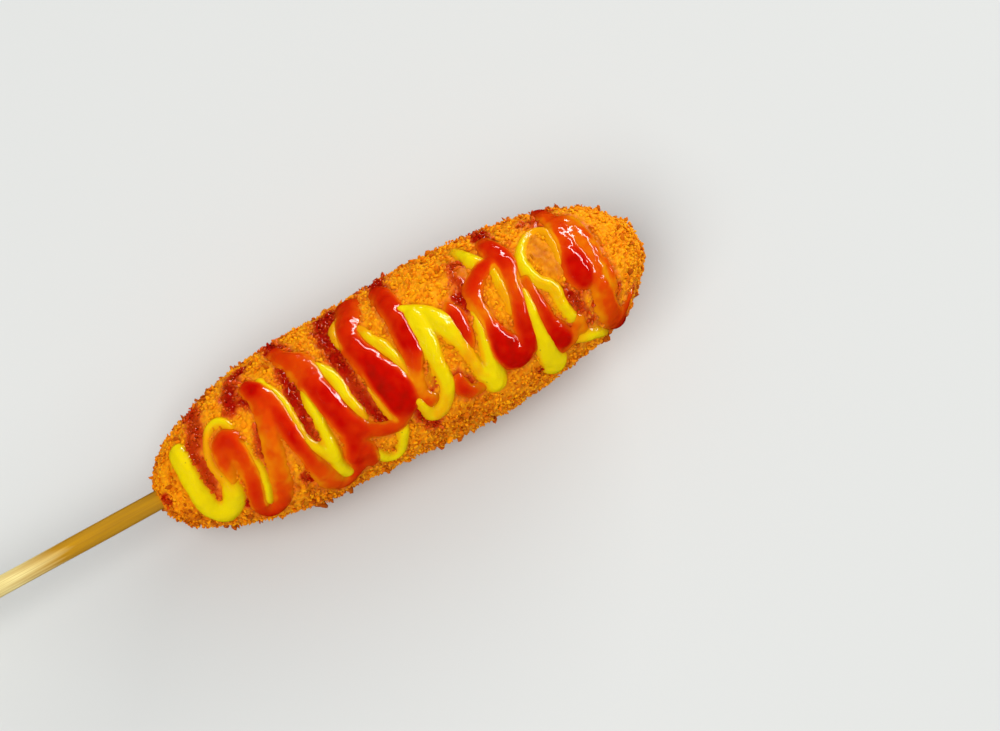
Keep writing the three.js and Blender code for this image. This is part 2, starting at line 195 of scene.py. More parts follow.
KETCHUP_ROPES = [
    [
        (21, -34, 1.4, 0.3), (21, -24, 2.6, 0.5), (21.4, -11, 3.1, 0.7),
        (22.4, 0, 3.4, 0.8), (24.2, 5, 3.1, 0.7), (26.4, 0, 3.1, 0.7),
    ],
    [
        (24.8, 2, 3.7, 0.8), (25.9, -8, 4, 0.8), (26.2, -19, 3.7, 0.6),
        (26.1, -30, 3.7, 0.5), (25.8, -42, 3.7, 0.7), (25.1, -55, 3.7, 0.7),
        (25.1, -72, 3.7, 0.75), (27, -82, 3.7, 0.85), (29.8, -77, 3.7, 0.8),
        (31.9, -64, 4, 0.6), (32.7, -53, 4.3, 0.4),
    ],
    [(23.5, 2, 2.3, 1), (23.2, -7, 2.3, 1), (22.8, -15, 1.4, 1)],
    [
        (32.5, -54, 4.3, 0.35), (33.5, -40, 4.3, 0.3), (34.4, -28, 4.3, 0.3),
        (35.3, -17, 4.3, 0.3), (36.6, -7, 4.3, 0.35), (37.8, 5, 4.3, 0.4),
        (38.2, 14, 4.6, 0.55),
    ],
    [
        (37.2, 30, 4.3, 0.95), (38.2, 22, 4.9, 0.95), (39.7, 13, 4.3, 0.65),
        (40.4, 3, 4, 0.75), (40.7, -8, 3.7, 0.95), (41.2, -19, 3.7, 0.95),
        (41.7, -31, 3.4, 0.85), (42.6, -42, 3.4, 0.75), (43.8, -54, 4, 0.5),
        (45.3, -66, 5.1, 0.35), (48.1, -79, 4.3, 0.45), (51.2, -81, 2.9, 0.7),
        (53.4, -72, 2.3, 0.85),
    ],
    [
        (52.7, 25, 6.3, 0.45), (53.1, 12, 6.3, 0.55), (53.7, -1, 6, 0.9),
        (54.5, -11, 6, 0.95), (55.3, -22, 5.7, 0.95), (56.4, -32, 5.7, 0.9),
        (57.5, -40, 5.7, 0.7),
    ],
    [
        (57, -33, 5.1, 0.75), (59.3, -41, 4.6, 0.65), (62.7, -46, 4, 0.6),
        (66.5, -50, 3.4, 0.8), (69.7, -50, 3.4, 0.5), (71.9, -44, 4, 0.65),
    ],
    [
        (56.5, -36, 4.6, 0.85), (56.1, -46, 4.3, 0.85), (55.3, -58, 5.1, 0.8),
        (55, -68, 4, 0.8), (53.3, -77, 2.3, 0.8),
    ],
    [(56.5, -50, 4.6, 0.65), (58, -61, 5.1, 0.75), (58.9, -72, 3.4, 0.7)],
    [
        (74.2, 55, 5.1, 0.5), (71.5, 36, 5.4, 0.65), (69.1, 25, 5.1, 0.75),
        (68.7, 12, 5.4, 0.8), (69.7, 0, 6, 0.85), (70.9, -11, 6.9, 1), (72, -21, 8, 1),
        (72.9, -29, 8.6, 1), (72.9, -37, 7.1, 1), (71.7, -43, 4.6, 0.75),
    ],
    [
        (83.4, 49, 4, 0.75), (83.7, 40, 4.9, 0.8), (83.4, 29, 4.9, 0.8),
        (83.5, 16, 5.1, 0.8), (83.3, 6, 5.4, 0.95), (82.6, -3, 5.4, 0.95),
        (82.1, -11, 4.9, 0.8), (80.9, -18, 3.7, 0.6),
    ],
    [
        (80.9, -17, 3.4, 0.5), (79.8, -27, 3.1, 0.15), (78.8, -36, 3.4, 0.15),
        (79.4, -44, 4, 0.3), (81.1, -45, 2.9, 0.35),
    ],
    [
        (97.7, 4, 2.6, 0.7), (97.6, -4, 4.3, 0.85), (97.6, -13, 4.3, 0.85),
        (97.8, -20, 3.1, 0.75), (97.8, -25, 1.7, 0.5),
    ],
    [
        (117.3, 21, 3.4, 0.7), (114, 19, 3.4, 0.75), (110.8, 16, 4, 0.8),
        (108.1, 12, 4.3, 0.75), (105.7, 6, 4.3, 0.7), (104.9, -3, 3.4, 0.35),
        (105.1, -12, 3.1, 0.3), (105.1, -20, 3.4, 0.7), (105.6, -29, 5.1, 0.95),
        (106.4, -39, 7.4, 1), (108.5, -48, 6.9, 1), (111.9, -48, 5.1, 0.95),
        (113.9, -41, 4.9, 0.9),
    ],
    [
        (116.6, 41, 3.4, 0.55), (116.8, 32, 4.9, 0.8), (117.7, 22, 5.4, 0.85),
        (118, 13, 5.4, 0.75), (117.1, 4, 4, 0.5), (116.4, -6, 3.4, 0.45),
        (116, -14, 4, 0.6), (114.9, -24, 4.6, 0.8), (114.1, -35, 4.9, 0.9),
        (113.4, -43, 4.9, 0.9),
    ],
    [
        (120.9, -3, 1.4, 0.5), (120.9, -13, 2, 0.7), (120.9, -21, 2.6, 0.85),
        (121.1, -30, 3.1, 0.9), (121, -39, 3.4, 0.9), (121.6, -49, 5.7, 1),
        (122.3, -55, 6.3, 1),
    ],
    [
        (119.1, -61, 2.9, 0.4), (122.4, -65, 2.6, 0.45), (125.4, -63, 2.6, 0.45),
        (127.8, -55, 2.3, 0.3), (129.4, -49, 2, 0.25),
    ],
    [
        (136.1, 70, 2.6, 0.85), (136.6, 44, 4.6, 0.45), (137.8, 31, 5.4, 0.4),
        (137.1, 15, 5.1, 0.45), (136.2, 3, 5.1, 0.6), (136.1, -8, 6.3, 0.95),
        (135.8, -17, 6.6, 1), (135.7, -22, 5.4, 1),
    ],
    [
        (140.7, 29, 5.7, 0.22), (141.8, 10, 5.4, 0.22), (141.9, -6, 4.6, 0.32),
        (141.2, -19, 4, 0.24), (140.1, -32, 4.3, 0.3), (139.7, -44, 5.1, 0.3),
        (139, -56, 5.7, 0.35), (139.8, -72, 5.7, 0.55), (142.4, -99, 4, 0.75),
    ],
    [
        (144.2, -19, 1.7, 0.7), (144.4, -27, 1.7, 0.7), (144, -38, 1.7, 0.8),
        (143.8, -48, 1.1, 0.5),
    ],
    [
        (148.7, -69, 1.1, 0.7), (146, -72, 2, 0.8), (143.7, -82, 2.3, 0.75),
        (142.3, -99, 2.3, 0.7),
    ],
    [(130.3, -52, 1.7, 0.2), (129.7, -60, 2.3, 0.25)],
    [
        (90.3, -41, 2.6, 0.9), (90.3, -48, 3.4, 0.85), (92.6, -55, 3.1, 0.6),
        (95.4, -56, 2.3, 0.45),
    ],
    [(49.2, 48, 3.1, 0.8), (50.2, 35, 4.6, 0.6), (52.7, 25, 5.7, 0.5)],
]

MUSTARD_TOP_ROPES = [
    [
        (49.7, -39, 2.7), (49.5, -49, 2.9), (49.4, -57, 2.9), (50.1, -64, 3.1),
        (51.1, -70, 3.1),
    ],
    [(85.9, 19, 2.3), (88.3, 14, 3.1), (91, 9, 3.4), (93.2, 3, 3.4)],
    [
        (87.5, 11, 4, 1), (87.9, 2, 5.1, 1), (87.6, -6, 4.6, 1), (87.2, -14, 4.3, 0.9),
        (86.8, -22, 3.7, 0.8), (87, -30, 3.4, 0.8), (86.9, -38, 3.7, 0.8),
        (86.1, -45, 3.7, 0.75), (84.5, -51, 3.7, 0.6), (82.5, -56, 3.7, 0.5),
        (79.8, -57, 3.4, 0.5), (78.1, -49, 2.6, 0.6), (77.3, -41, 1.7, 0.6),
    ],
    [
        (91.7, 5, 4.6, 1), (93.1, -2, 5.1, 1), (94.1, -11, 3.7, 0.8),
        (95.2, -21, 2.9, 0.45), (96.1, -31, 2.6, 0.35), (96.7, -40, 2.7, 0.4),
        (97.6, -48, 3.4, 0.8), (99, -51, 4.3, 1), (99.4, -57, 4.6, 1),
    ],
    [
        (118.7, -10, 1.1), (118.5, -16, 1.7), (118.1, -23, 2.3), (117.6, -31, 2.6),
        (117.3, -41, 3.1), (117.2, -52, 4), (117.3, -63, 5.1), (118.5, -75, 6.3),
    ],
]

# Ketchup that has soaked into bare crumbs: station, degrees, radius and strength.
STAINS = [
    (130, -30, 2, 0.8), (132, -41, 1.4, 0.7), (136, -47, 1.7, 0.8), (133, -56, 1.7, 0.7),
    (146, -71, 1.7, 0.9), (149, -72, 1.4, 0.8), (145, -48, 1.4, 0.6), (81, -38, 2, 0.7),
    (84, -36, 1.7, 0.5), (82, -26, 1.4, 0.4), (23, -62, 2.3, 1), (40, -56, 2.3, 0.8),
    (41, -60, 1.7, 1), (3, -28, 2.3, 0.8), (92, -47, 2.6, 0.9), (93, -55, 2.3, 0.8),
    (114, -72, 1.4, 0.9), (22, 75, 2.6, 0.8), (38, 56, 2.6, 0.9), (41, 59, 1.7, 0.7),
    (49, 56, 2.9, 0.9), (66, 58, 3.1, 0.9), (83, 75, 2.9, 0.9), (88, 75, 2.3, 0.8),
    (118, 60, 2.9, 0.9), (136, 70, 2.6, 0.9), (84, 76, 3.4, 1), (117, 49, 3.1, 0.9),
    (125, -51, 2, 0.8),
]

# A thin orange glaze of both sauces: station, degrees, radius and strength.
GLAZES = [
    (128, 12, 4, 1), (129, -2, 3.7, 0.9), (129, 22, 2.6, 0.9), (130, -9, 2, 0.7),
    (106, 23, 2.3, 0.7), (101, 14, 2, 0.5), (82, -33, 2.3, 0.6), (110, 40, 1.4, 0.5),
    (130, -58, 1.7, 0.7), (112, 25, 1.7, 0.6),
]

# Chips of crumb that stick out of the outline: station, degrees and length.
CHIPS = [
    (152, 65, 2.9), (42, -104, 4.2), (41, -104, 3), (137, -101, 3.3), (136, -101, 2.8),
    (135, -101, 2.3), (51, -105, 2.8), (63, -107, 3), (64, -107, 2.4), (17, -108, 3.2),
    (18, -108, 2.4), (157, 53, 2.4), (19, 75, 2.4), (38, 73, 2.4), (128, 69, 2.4), (142, 70, 3),
    (140, 70, 2.4), (150, -96, 2.4), (29, 75, 2.4), (25, 75, 2.4), (80, -107, 3), (86, -106, 3),
    (97, -105, 2.6), (48, -104, 2.4), (30, -105, 2.6),
]

SAUCES = ("soaked", "ketchup", "mustard")
SAMPLE_STEP = 0.5
COMMON_WIDTH = 5.0  # a wider rope lies flatter, a thinner one rounder
FLATTENING = 0.75
# How unevenly a rope is squeezed, and over what lengths its width and height change.
WIDTH_WANDER, HEIGHT_WANDER = 0.1, 0.16
WIDTH_LENGTH, HEIGHT_LENGTH = 3.0, 4.0
BURY = 0.9  # ropes reach this deep into the crust
SLAB_TOP = 0.35
BLUNTNESS = 0.4  # the lower, the squarer a rope's sides
PAST_END = (0.97, 0.85, 0.6, 0.3)  # sections that round off a rope's end
SOAKED_FULLNESS = 0.1
MUSTARD_SPREAD, KETCHUP_SPREAD = 1.15, 1.28  # sagging makes a rope look narrower than it is
SOFT_EDGE = 1.3  # beyond half its width a rope's soft edge runs out this far
EDGE_REACH = 3.5  # how far from a rope its distance is kept
FAR = 9.0  # stands for the distance from a rope where none is near
RING_POINTS = 24
MAP_STEP = 0.3
MAP_TURN = 0.7  # degrees
MAP_WIDEST = 125.0  # no sauce lies further round the body than this
SAG, BLEED = 0.6, 0.45  # how far sauces sag into each other, and their colours run
LIFT = 0.75  # how far a rope rides up over what lies under it
LIFT_REACH, LIFT_SAMPLES = 0.6, 9  # over a rope's half width, and points along it
BEAD_POWER = 0.7  # the lower, the fuller a rope's section
PLAIN_STRENGTH = 0.5  # away from all ropes
STRENGTH_BLUR, THICKNESS_BLUR = 0.7, 0.5
BLUR_REACH = 2.5  # over the blur's size
NARROWEST = 4.0  # radius of the crust below which the window around a place stays as wide
SPOT_REACH, SPOT_EDGE, SPOT_CORE = 1.3, 1.2, 0.6  # over a spot's radius

# Size of the lumps in millimetres, and seed, of each soft noise.
NOISES = {
    "swells": (6.5, 1),
    "dents": (2.6, 2),
    "clumps": (3.4, 15),
    "ragged_edges": (2.2, 5),
    "ragged_crumbs": (0.9, 6),
    "soaked_patches": (5.0, 12),
    "rope_swells": (3.5, 7),
    "rope_dents": (2.2, 8),
    "crumbs_below": (1.2, 9),
    "mustard_patches": (2.0, 16),
    "ketchup_patches": (2.4, 10),
    "ketchup_pulp": (1.1, 14),
    "fibres": (0.7, 12),
    "turning_marks": (2.5, 13),
}
# A noise gives each corner of its cells one of NOISE_LEVELS values.
NOISE_FACTORS = (73856093, 19349663, 83492791)
NOISE_MIXER, NOISE_MASK, NOISE_LEVELS = 1274126177, 0x7FFFFFFF, 10007
NOISE_SEED_STEP, NOISE_START = 17.3, 1000


# ---- Smooth crust ----
def outline_curve():
    """Closely spaced stations and radii on the smooth curve through the outline."""
    last = len(OUTLINE) - 1
    share = np.linspace(0, 1, 60, endpoint=False)[:, None]
    runs = []
    for i in range(last):
        before, start, end, after = (OUTLINE[min(max(k, 0), last)] for k in range(i - 1, i + 3))
        runs.append(
            start
            + 0.5 * share * (end - before)
            + 0.5 * share**2 * (2 * before - 5 * start + 4 * end - after)
            + 0.5 * share**3 * (3 * start - before - 3 * end + after)
        )
    return np.vstack([*runs, OUTLINE[-1:]])


def lengths_along(line):
    """How far along a line each of its points is."""
    return np.concatenate([[0], np.cumsum(np.linalg.norm(np.diff(line, axis=0), axis=1))])


CURVE = outline_curve()
CURVE_STATIONS, CURVE_RADII = CURVE[:, 0], np.maximum(CURVE[:, 1], 0)
CURVE_LENGTHS = lengths_along(CURVE)
CURVE_SLOPES = np.gradient(CURVE_RADII) / np.maximum(np.gradient(CURVE_STATIONS), 1e-6)
# The crust's area up to each point of the curve, over a turn of one radian.
CURVE_AREAS = np.concatenate([[0], np.cumsum(CURVE_RADII[1:] * np.diff(CURVE_LENGTHS))])


def unit(vectors):
    return vectors / np.linalg.norm(vectors, axis=-1, keepdims=True)


def crust_radius(stations, angles):
    lump = sum(np.sin(stations / long + waves * angles + start) for long, waves, start in LUMPS)
    radii = np.interp(stations, CURVE_STATIONS, CURVE_RADII)
    return radii * (1 + LUMP_HEIGHT * lump / BODY_WIDTH)


def on_crust(stations, angles):
    """Points of the smooth crust."""
    stations, angles = np.broadcast_arrays(stations, angles)
    radii = crust_radius(stations, angles)
    return np.stack(
        [stations - FLAT_STATION, radii * np.sin(angles), AXIS_HEIGHT + radii * np.cos(angles)],
        axis=-1,
    )


def crust_normals(stations, angles):
    slopes = np.interp(stations, CURVE_STATIONS, CURVE_SLOPES)
    return unit(np.stack([-slopes, np.sin(angles), np.cos(angles)], axis=-1))


def place_of(points):
    """The stations and angles of points."""
    return points[:, 0] + FLAT_STATION, np.arctan2(points[:, 1], points[:, 2] - AXIS_HEIGHT)


def rest_on_floor(points):
    """Presses the underside onto the flat spot, and keeps everything off the floor."""
    outside = np.hypot(
        np.maximum(np.abs(points[:, 0]) - FLAT_HALF_LENGTH, 0),
        np.maximum(np.abs(points[:, 1]) - FLAT_HALF_WIDTH, 0),
    )
    pressed = ramp(outside, FLAT_BLEND, 0) * (points[:, 2] < AXIS_HEIGHT)
    points[:, 2] = np.maximum(points[:, 2] * (1 - pressed), 0)
    return points


# ---- Soft steps and soft noise ----
def ramp(values, start, end):
    """A soft step from 0 at start to 1 at end."""
    share = np.clip((np.asarray(values, float) - start) / (end - start), 0, 1)
    return share * share * (3 - 2 * share)


def soft_noise(points, **weights):
    """Smooth random values: the sum of named noises, each from minus to plus its weight."""
    return sum(weight * one_noise(points, *NOISES[name]) for name, weight in weights.items())


def one_noise(points, size, seed):
    """Smooth random values from -1 to 1, in lumps of one size."""
    place = points / size + NOISE_SEED_STEP * seed + NOISE_START
    cell = np.floor(place).astype(np.int64)
    part = place - cell
    part = part * part * (3 - 2 * part)
    total = np.zeros(len(points))
    for corner in np.ndindex(2, 2, 2):
        first, second, third = ((cell + corner) * NOISE_FACTORS).T
        mixed = first ^ second ^ third
        mixed = ((mixed ^ (mixed >> 13)) * NOISE_MIXER) & NOISE_MASK
        value = ((mixed ^ (mixed >> 15)) % NOISE_LEVELS) / (NOISE_LEVELS - 1)
        total += value * np.prod(np.where(corner, part, 1 - part), axis=1)
    return 2 * total - 1


def bands(*steps):
    """The sum of soft steps, each given as its values, its height, its start and its end."""
    return sum(most * ramp(values, start, end) for values, most, start, end in steps)


def wander(lengths, size, rng):
    """Random values from -1 to 1 that change slowly along a rope."""
    knots = np.arange(0, lengths[-1] + 2 * size, size)
    return np.interp(lengths, knots, rng.uniform(-1, 1, len(knots)))


# ---- Ropes of sauce ----
class Rope:
    """The middle line of a squeezed rope, with its half widths, heights and lifts."""

    def __init__(self, route, fullness, spread, rng):
        rows = np.array([[*row, 1.0][:4] for row in route], float)
        line, shares = self.smooth_line(on_crust(rows[:, 0], np.radians(rows[:, 1])))
        self.stations, self.angles = place_of(line)
        self.centres = on_crust(self.stations, self.angles)
        widths = np.interp(shares, range(len(rows)), rows[:, 2])
        self.strengths = np.interp(shares, range(len(rows)), rows[:, 3])
        lengths = lengths_along(self.centres)
        self.halves = spread * widths / 2
        self.halves *= 1 + WIDTH_WANDER * wander(lengths, WIDTH_LENGTH, rng)
        self.heights = COMMON_WIDTH * fullness * (widths / COMMON_WIDTH) ** FLATTENING
        self.heights *= 1 + HEIGHT_WANDER * wander(lengths, HEIGHT_LENGTH, rng)
        self.lifts = np.zeros(len(self.centres))

    @staticmethod
    def smooth_line(turns):
        """Points along the centripetal curve through the turns, and how far along each is."""
        ends = 2 * turns[[0, -1]] - turns[[1, -2]]
        turns = np.vstack([ends[:1], turns, ends[1:]])
        line, shares = [], []
        for i in range(1, len(turns) - 2):
            run = turns[i - 1 : i + 3]
            before, start, end, after = run
            a, b, c = (np.sqrt(np.linalg.norm(step)) for step in np.diff(run, axis=0))
            leave = (start - before) / a - (end - before) / (a + b) + (end - start) / b
            arrive = (end - start) / b - (after - start) / (b + c) + (after - end) / c
            leave, arrive = leave * b, arrive * b
            count = max(2, math.ceil(np.linalg.norm(end - start) / SAMPLE_STEP))
            t = np.linspace(0, 1, count, endpoint=i == len(turns) - 3)[:, None]
            line.append(
                start
                + leave * t
                + (3 * (end - start) - 2 * leave - arrive) * t**2
                + (2 * (start - end) + leave + arrive) * t**3
            )
            shares.append(i - 1 + t[:, 0])
        return np.vstack(line), np.concatenate(shares)

    def rings(self):
        """Flat sections across the rope from end to end, wide enough for its soft edges."""
        normals = crust_normals(self.stations, self.angles)
        along = unit(np.gradient(self.centres, axis=0))
        across = unit(np.cross(along, normals))
        turn = np.linspace(0, 2 * math.pi, RING_POINTS, endpoint=False)
        side, rise = (np.sign(x) * np.abs(x) ** BLUNTNESS for x in (np.cos(turn), np.sin(turn)))
        up = np.where(rise < 0, BURY, SLAB_TOP) * rise
        reaches = self.halves + SOFT_EDGE
        sections = [(0, -past) for past in PAST_END]
        sections += [(i, 0) for i in range(len(self.centres))]
        sections += [(-1, past) for past in reversed(PAST_END)]
        rings = []
        for i, forward in sections:
            wide = reaches[i] * math.sqrt(1 - forward * forward)
            base = self.centres[i] + along[i] * forward * reaches[i]
            rings.append(base + across[i] * (side * wide)[:, None] + normals[i] * up[:, None])
        return np.array(rings)


def blurred(layer, size):
    """A layer of the map, blurred over a distance in millimetres."""
    reach = math.ceil(BLUR_REACH * size / MAP_STEP)
    weights = np.exp(-0.5 * (np.arange(-reach, reach + 1) * MAP_STEP / size) ** 2)
    weights /= weights.sum()
    for _ in range(2):
        padded = np.pad(layer, ((reach, reach), (0, 0)), mode="edge")
        layer = sum(weight * padded[i : i + len(layer)] for i, weight in enumerate(weights)).T
    return layer


class SauceMap:
    """What lies on the unrolled crust: how thick each sauce is, which is on top, stains."""

    def __init__(self):
        self.stations = np.arange(OUTLINE[0, 0], OUTLINE[-1, 0], MAP_STEP)
        self.angles = np.radians(np.arange(-MAP_WIDEST, MAP_WIDEST, MAP_TURN))
        self.points = on_crust(self.stations[:, None], self.angles[None, :])
        shape = self.points.shape[:2]
        self.height, self.stain, self.glaze = (np.zeros(shape) for _ in range(3))
        self.top = np.full(shape, "", dtype="<U7")
        self.thickness = {name: np.zeros(shape) for name in SAUCES}
        self.strengths = {name: np.full(shape, PLAIN_STRENGTH) for name in SAUCES}
        self.edges = {name: np.full(shape, FAR) for name in SAUCES}

    def window(self, station, angle, reach):
        """The part of the map within reach of a place, and each point's distance from it."""
        turn = reach / max(NARROWEST, float(crust_radius(station, angle)))
        rows = slice(*np.searchsorted(self.stations, (station - reach, station + reach)))
        columns = slice(*np.searchsorted(self.angles, (angle - turn, angle + turn)))
        here = (rows, columns)
        return here, np.linalg.norm(self.points[here] - on_crust(station, angle), axis=-1)

    def lift(self, rope):
        """Raises a rope over what already lies under it."""
        under = np.zeros(len(rope.centres))
        for i, (station, angle) in enumerate(zip(rope.stations, rope.angles)):
            here, distances = self.window(station, angle, LIFT_REACH * rope.halves[i])
            if distances.size:
                under[i] = self.height[here].mean()
        weights = np.hanning(LIFT_SAMPLES)
        padded = np.pad(under, LIFT_SAMPLES // 2, mode="edge")
        rope.lifts = LIFT * np.convolve(padded, weights / weights.sum(), mode="valid")

    def lay(self, rope, name):
        """Adds a rope to the layers of its sauce, and to the surface unless it soaked in."""
        edge, thickness, strength = self.edges[name], self.thickness[name], self.strengths[name]
        for i, (station, angle) in enumerate(zip(rope.stations, rope.angles)):
            half = rope.halves[i]
            here, distances = self.window(station, angle, half + EDGE_REACH)
            nearer = distances - half < edge[here]
            strength[here] = np.where(nearer, rope.strengths[i], strength[here])
            edge[here] = np.minimum(edge[here], distances - half)
            spread = np.minimum(distances / half, 1)
            bead = rope.heights[i] * (1 - spread**2) ** BEAD_POWER
            thickness[here] = np.maximum(thickness[here], bead)
            if name != "soaked":
                inside = spread < 1
                self.top[here] = np.where(inside, name, self.top[here])
                raised = np.where(inside, rope.lifts[i] * (1 - spread**4) + bead, 0)
                self.height[here] = np.maximum(self.height[here], raised)

    def spot(self, layer, station, degrees, radius, strength):
        """Adds a round soft-edged spot to a layer."""
        here, distances = self.window(station, math.radians(degrees), SPOT_REACH * radius)
        amount = strength * ramp(distances, SPOT_EDGE * radius, SPOT_CORE * radius)
        layer[here] = np.maximum(layer[here], amount)

    def settle(self):
        """Lets the sauces sag into one soft surface, once all are laid."""
        self.surface = blurred(self.height, SAG)
        self.red = blurred((self.top == "ketchup").astype(float), BLEED)
        self.yellow = blurred((self.top == "mustard").astype(float), BLEED)
        for name in SAUCES:
            self.strengths[name] = blurred(self.strengths[name], STRENGTH_BLUR)
            self.thickness[name] = blurred(self.thickness[name], THICKNESS_BLUR)

    def read(self, layer, stations, angles, beyond=0.0):
        """A layer's values at places, or the value beyond the map off its edges."""
        place = (
            (stations - self.stations[0]) / MAP_STEP,
            (np.degrees(angles) + MAP_WIDEST) / MAP_TURN,
        )
        inside = np.all([(x >= 0) & (x < n - 1) for x, n in zip(place, layer.shape)], axis=0)
        row, column = (np.clip(x, 0, n - 1.001) for x, n in zip(place, layer.shape))
        i, j = row.astype(int), column.astype(int)
        u, v = row - i, column - j
        value = (
            layer[i, j] * (1 - u) * (1 - v)
            + layer[i + 1, j] * u * (1 - v)
            + layer[i, j + 1] * (1 - u) * v
            + layer[i + 1, j + 1] * u * v
        )
        return np.where(inside, value, beyond)

    def edge(self, name, stations, angles):
        """How far places are from the nearest rope of a sauce, below 0 under it."""
        return self.read(self.edges[name], stations, angles, FAR)

    def gap(self, stations, angles):
        """How far places are from the nearest rope of ketchup or mustard."""
        nearest = np.minimum(self.edges["ketchup"], self.edges["mustard"])
        return self.read(nearest, stations, angles, FAR)


# Ketchup lies thin where it is orange, and where it has run off the far side.
THINNEST_KETCHUP = 0.55
RUN_OFF, RUN_OFF_DEGREES = 0.15, (25, 50)


@lru_cache(maxsize=2)
def squeeze(ketchup_fullness, mustard_fullness):
    """The ropes of each sauce, laid one pass over another, and the map of them all."""
    rng = np.random.default_rng(11)
    sauces = SauceMap()
    ropes = {name: [] for name in SAUCES}
    passes = (
        ("soaked", SOAKED_ROPES, SOAKED_FULLNESS, 1.0),
        ("mustard", MUSTARD_ROPES, mustard_fullness, MUSTARD_SPREAD),
        ("ketchup", KETCHUP_ROPES, ketchup_fullness, KETCHUP_SPREAD),
        ("mustard", MUSTARD_TOP_ROPES, mustard_fullness, MUSTARD_SPREAD),
    )
    for name, routes, fullness, spread in passes:
        laid = [Rope(route, fullness, spread, rng) for route in routes]
        ropes[name] += laid
        for rope in laid:
            if name == "ketchup":
                rope.heights *= THINNEST_KETCHUP + (1 - THINNEST_KETCHUP) * rope.strengths
                rope.heights *= 1 - RUN_OFF * ramp(np.degrees(rope.angles), *RUN_OFF_DEGREES)
            if name != "soaked":
                sauces.lift(rope)
        for rope in laid:
            sauces.lay(rope, name)
    for layer, spots in ((sauces.stain, STAINS), (sauces.glaze, GLAZES)):
        for spot in spots:
            sauces.spot(layer, *spot)
    sauces.settle()
    return ropes, sauces


def squeezed(context):
    """The ropes and the map of the sauces as the scene's settings ask for them."""
    sizes = context.scene.corn_dog_sauces
    return squeeze(sizes.ketchup_fullness, sizes.mustard_fullness)


# How far from a rope its sauce starts to show in the crumbs, and shows in full.
SOAKED_OVER, TINTED_OVER, SMEARED_OVER = (2.4, -1.2), (2.0, 0.1), (0.8, 0)
MOST_TINTED, MOST_SMEARED = 0.3, 0.5
LEAST_SOAKED, WEAKEST_SOAK, SOAK_SHARE = 0.6, 0.28, 0.8
# How ragged each look is, and how much of a glaze shows.
RAGGED_TINT, RAGGED_STAIN, RAGGED_GLAZE, RAGGED_SMEAR = 0.8, 0.35, 0.5, 0.4
GLAZE_SHARE = 0.72


def soaking(sauces, points, stations, angles):
    """How far ketchup has soaked into the crumbs at points, and how glazed they are."""
    ragged = soft_noise(points, ragged_edges=1, ragged_crumbs=0.6)
    edge = {name: sauces.edge(name, stations, angles) for name in SAUCES}
    strength = sauces.read(sauces.strengths["soaked"], stations, angles, PLAIN_STRENGTH)
    strength = WEAKEST_SOAK + SOAK_SHARE * strength + soft_noise(points, soaked_patches=0.15)
    soaked = np.clip(strength, LEAST_SOAKED, 1) * ramp(edge["soaked"] + ragged, *SOAKED_OVER)
    # Crumbs beside a rope of ketchup are tinted, and those beside mustard are smeared.
    tinted = MOST_TINTED * ramp(edge["ketchup"] + RAGGED_TINT * ragged, *TINTED_OVER)
    smeared = MOST_SMEARED * ramp(edge["mustard"], *SMEARED_OVER)
    stain = sauces.read(sauces.stain, stations, angles) * (1 + RAGGED_STAIN * ragged)
    glaze = sauces.read(sauces.glaze, stations, angles)
    soak = np.max([soaked, tinted, stain], axis=0) * (1 - glaze)
    glaze = glaze * (GLAZE_SHARE + RAGGED_GLAZE * ragged)
    glaze = np.maximum(glaze, smeared * (1 + RAGGED_SMEAR * ragged))
    return np.clip(soak, 0, 1), np.clip(glaze, 0, 1)


# ---- Meshes ----
def start_piece():
    """Leaves nothing selected, so that an operator acts on the new piece alone."""
    bpy.ops.object.select_all(action="DESELECT")


def name_piece(name):
    piece = bpy.context.active_object
    piece.name = piece.data.name = name
    return piece


def read_points(mesh):
    """A mesh's points in millimetres."""
    flat = np.empty(3 * len(mesh.vertices), np.float32)
    mesh.vertices.foreach_get("co", flat)
    return flat.reshape(-1, 3).astype(float) / MM


def write_points(mesh, points):
    mesh.vertices.foreach_set("co", (points * MM).astype(np.float32).ravel())
    mesh.update()


def write_attributes(mesh, **layers):
    """Writes a value at each of a mesh's points for its material to read."""
    for name, values in layers.items():
        layer = mesh.attributes.new(name, "FLOAT", "POINT")
        layer.data.foreach_set("value", np.asarray(values, np.float32))


def new_piece(name, points, faces):
    """A piece from points in millimetres and faces of one length."""
    mesh = bpy.data.meshes.new(name)
    count, corners = faces.shape
    mesh.vertices.add(len(points))
    mesh.loops.add(count * corners)
    mesh.polygons.add(count)
    starts = np.arange(0, count * corners, corners, dtype=np.int32)
    mesh.loops.foreach_set("vertex_index", faces.ravel().astype(np.int32))
    mesh.polygons.foreach_set("loop_start", starts)
    write_points(mesh, points)
    mesh.update(calc_edges=True)
    mesh.validate()
    piece = bpy.data.objects.new(name, mesh)
    bpy.context.scene.collection.objects.link(piece)
    start_piece()
    piece.select_set(True)
    bpy.context.view_layer.objects.active = piece
    return piece


def edit_all(change, **settings):
    """Runs an edit mode operator on the whole of the active piece."""
    bpy.ops.object.mode_set(mode="EDIT")
    bpy.ops.mesh.select_all(action="SELECT")
    change(**settings)
    bpy.ops.object.mode_set(mode="OBJECT")


def edit_edges(mesh, chosen, change, **settings):
    """Runs an edit mode operator on those edges of the active piece that chosen picks."""
    bpy.ops.object.mode_set(mode="EDIT")
    bpy.ops.mesh.select_mode(type="EDGE")
    bpy.ops.mesh.select_all(action="DESELECT")
    bpy.ops.object.mode_set(mode="OBJECT")
    for edge in mesh.edges:
        edge.select = chosen(*(mesh.vertices[i].co for i in edge.vertices))
    bpy.ops.object.mode_set(mode="EDIT")
    change(**settings)
    bpy.ops.object.mode_set(mode="OBJECT")


def face_outwards():
    edit_all(bpy.ops.mesh.normals_make_consistent, inside=False)


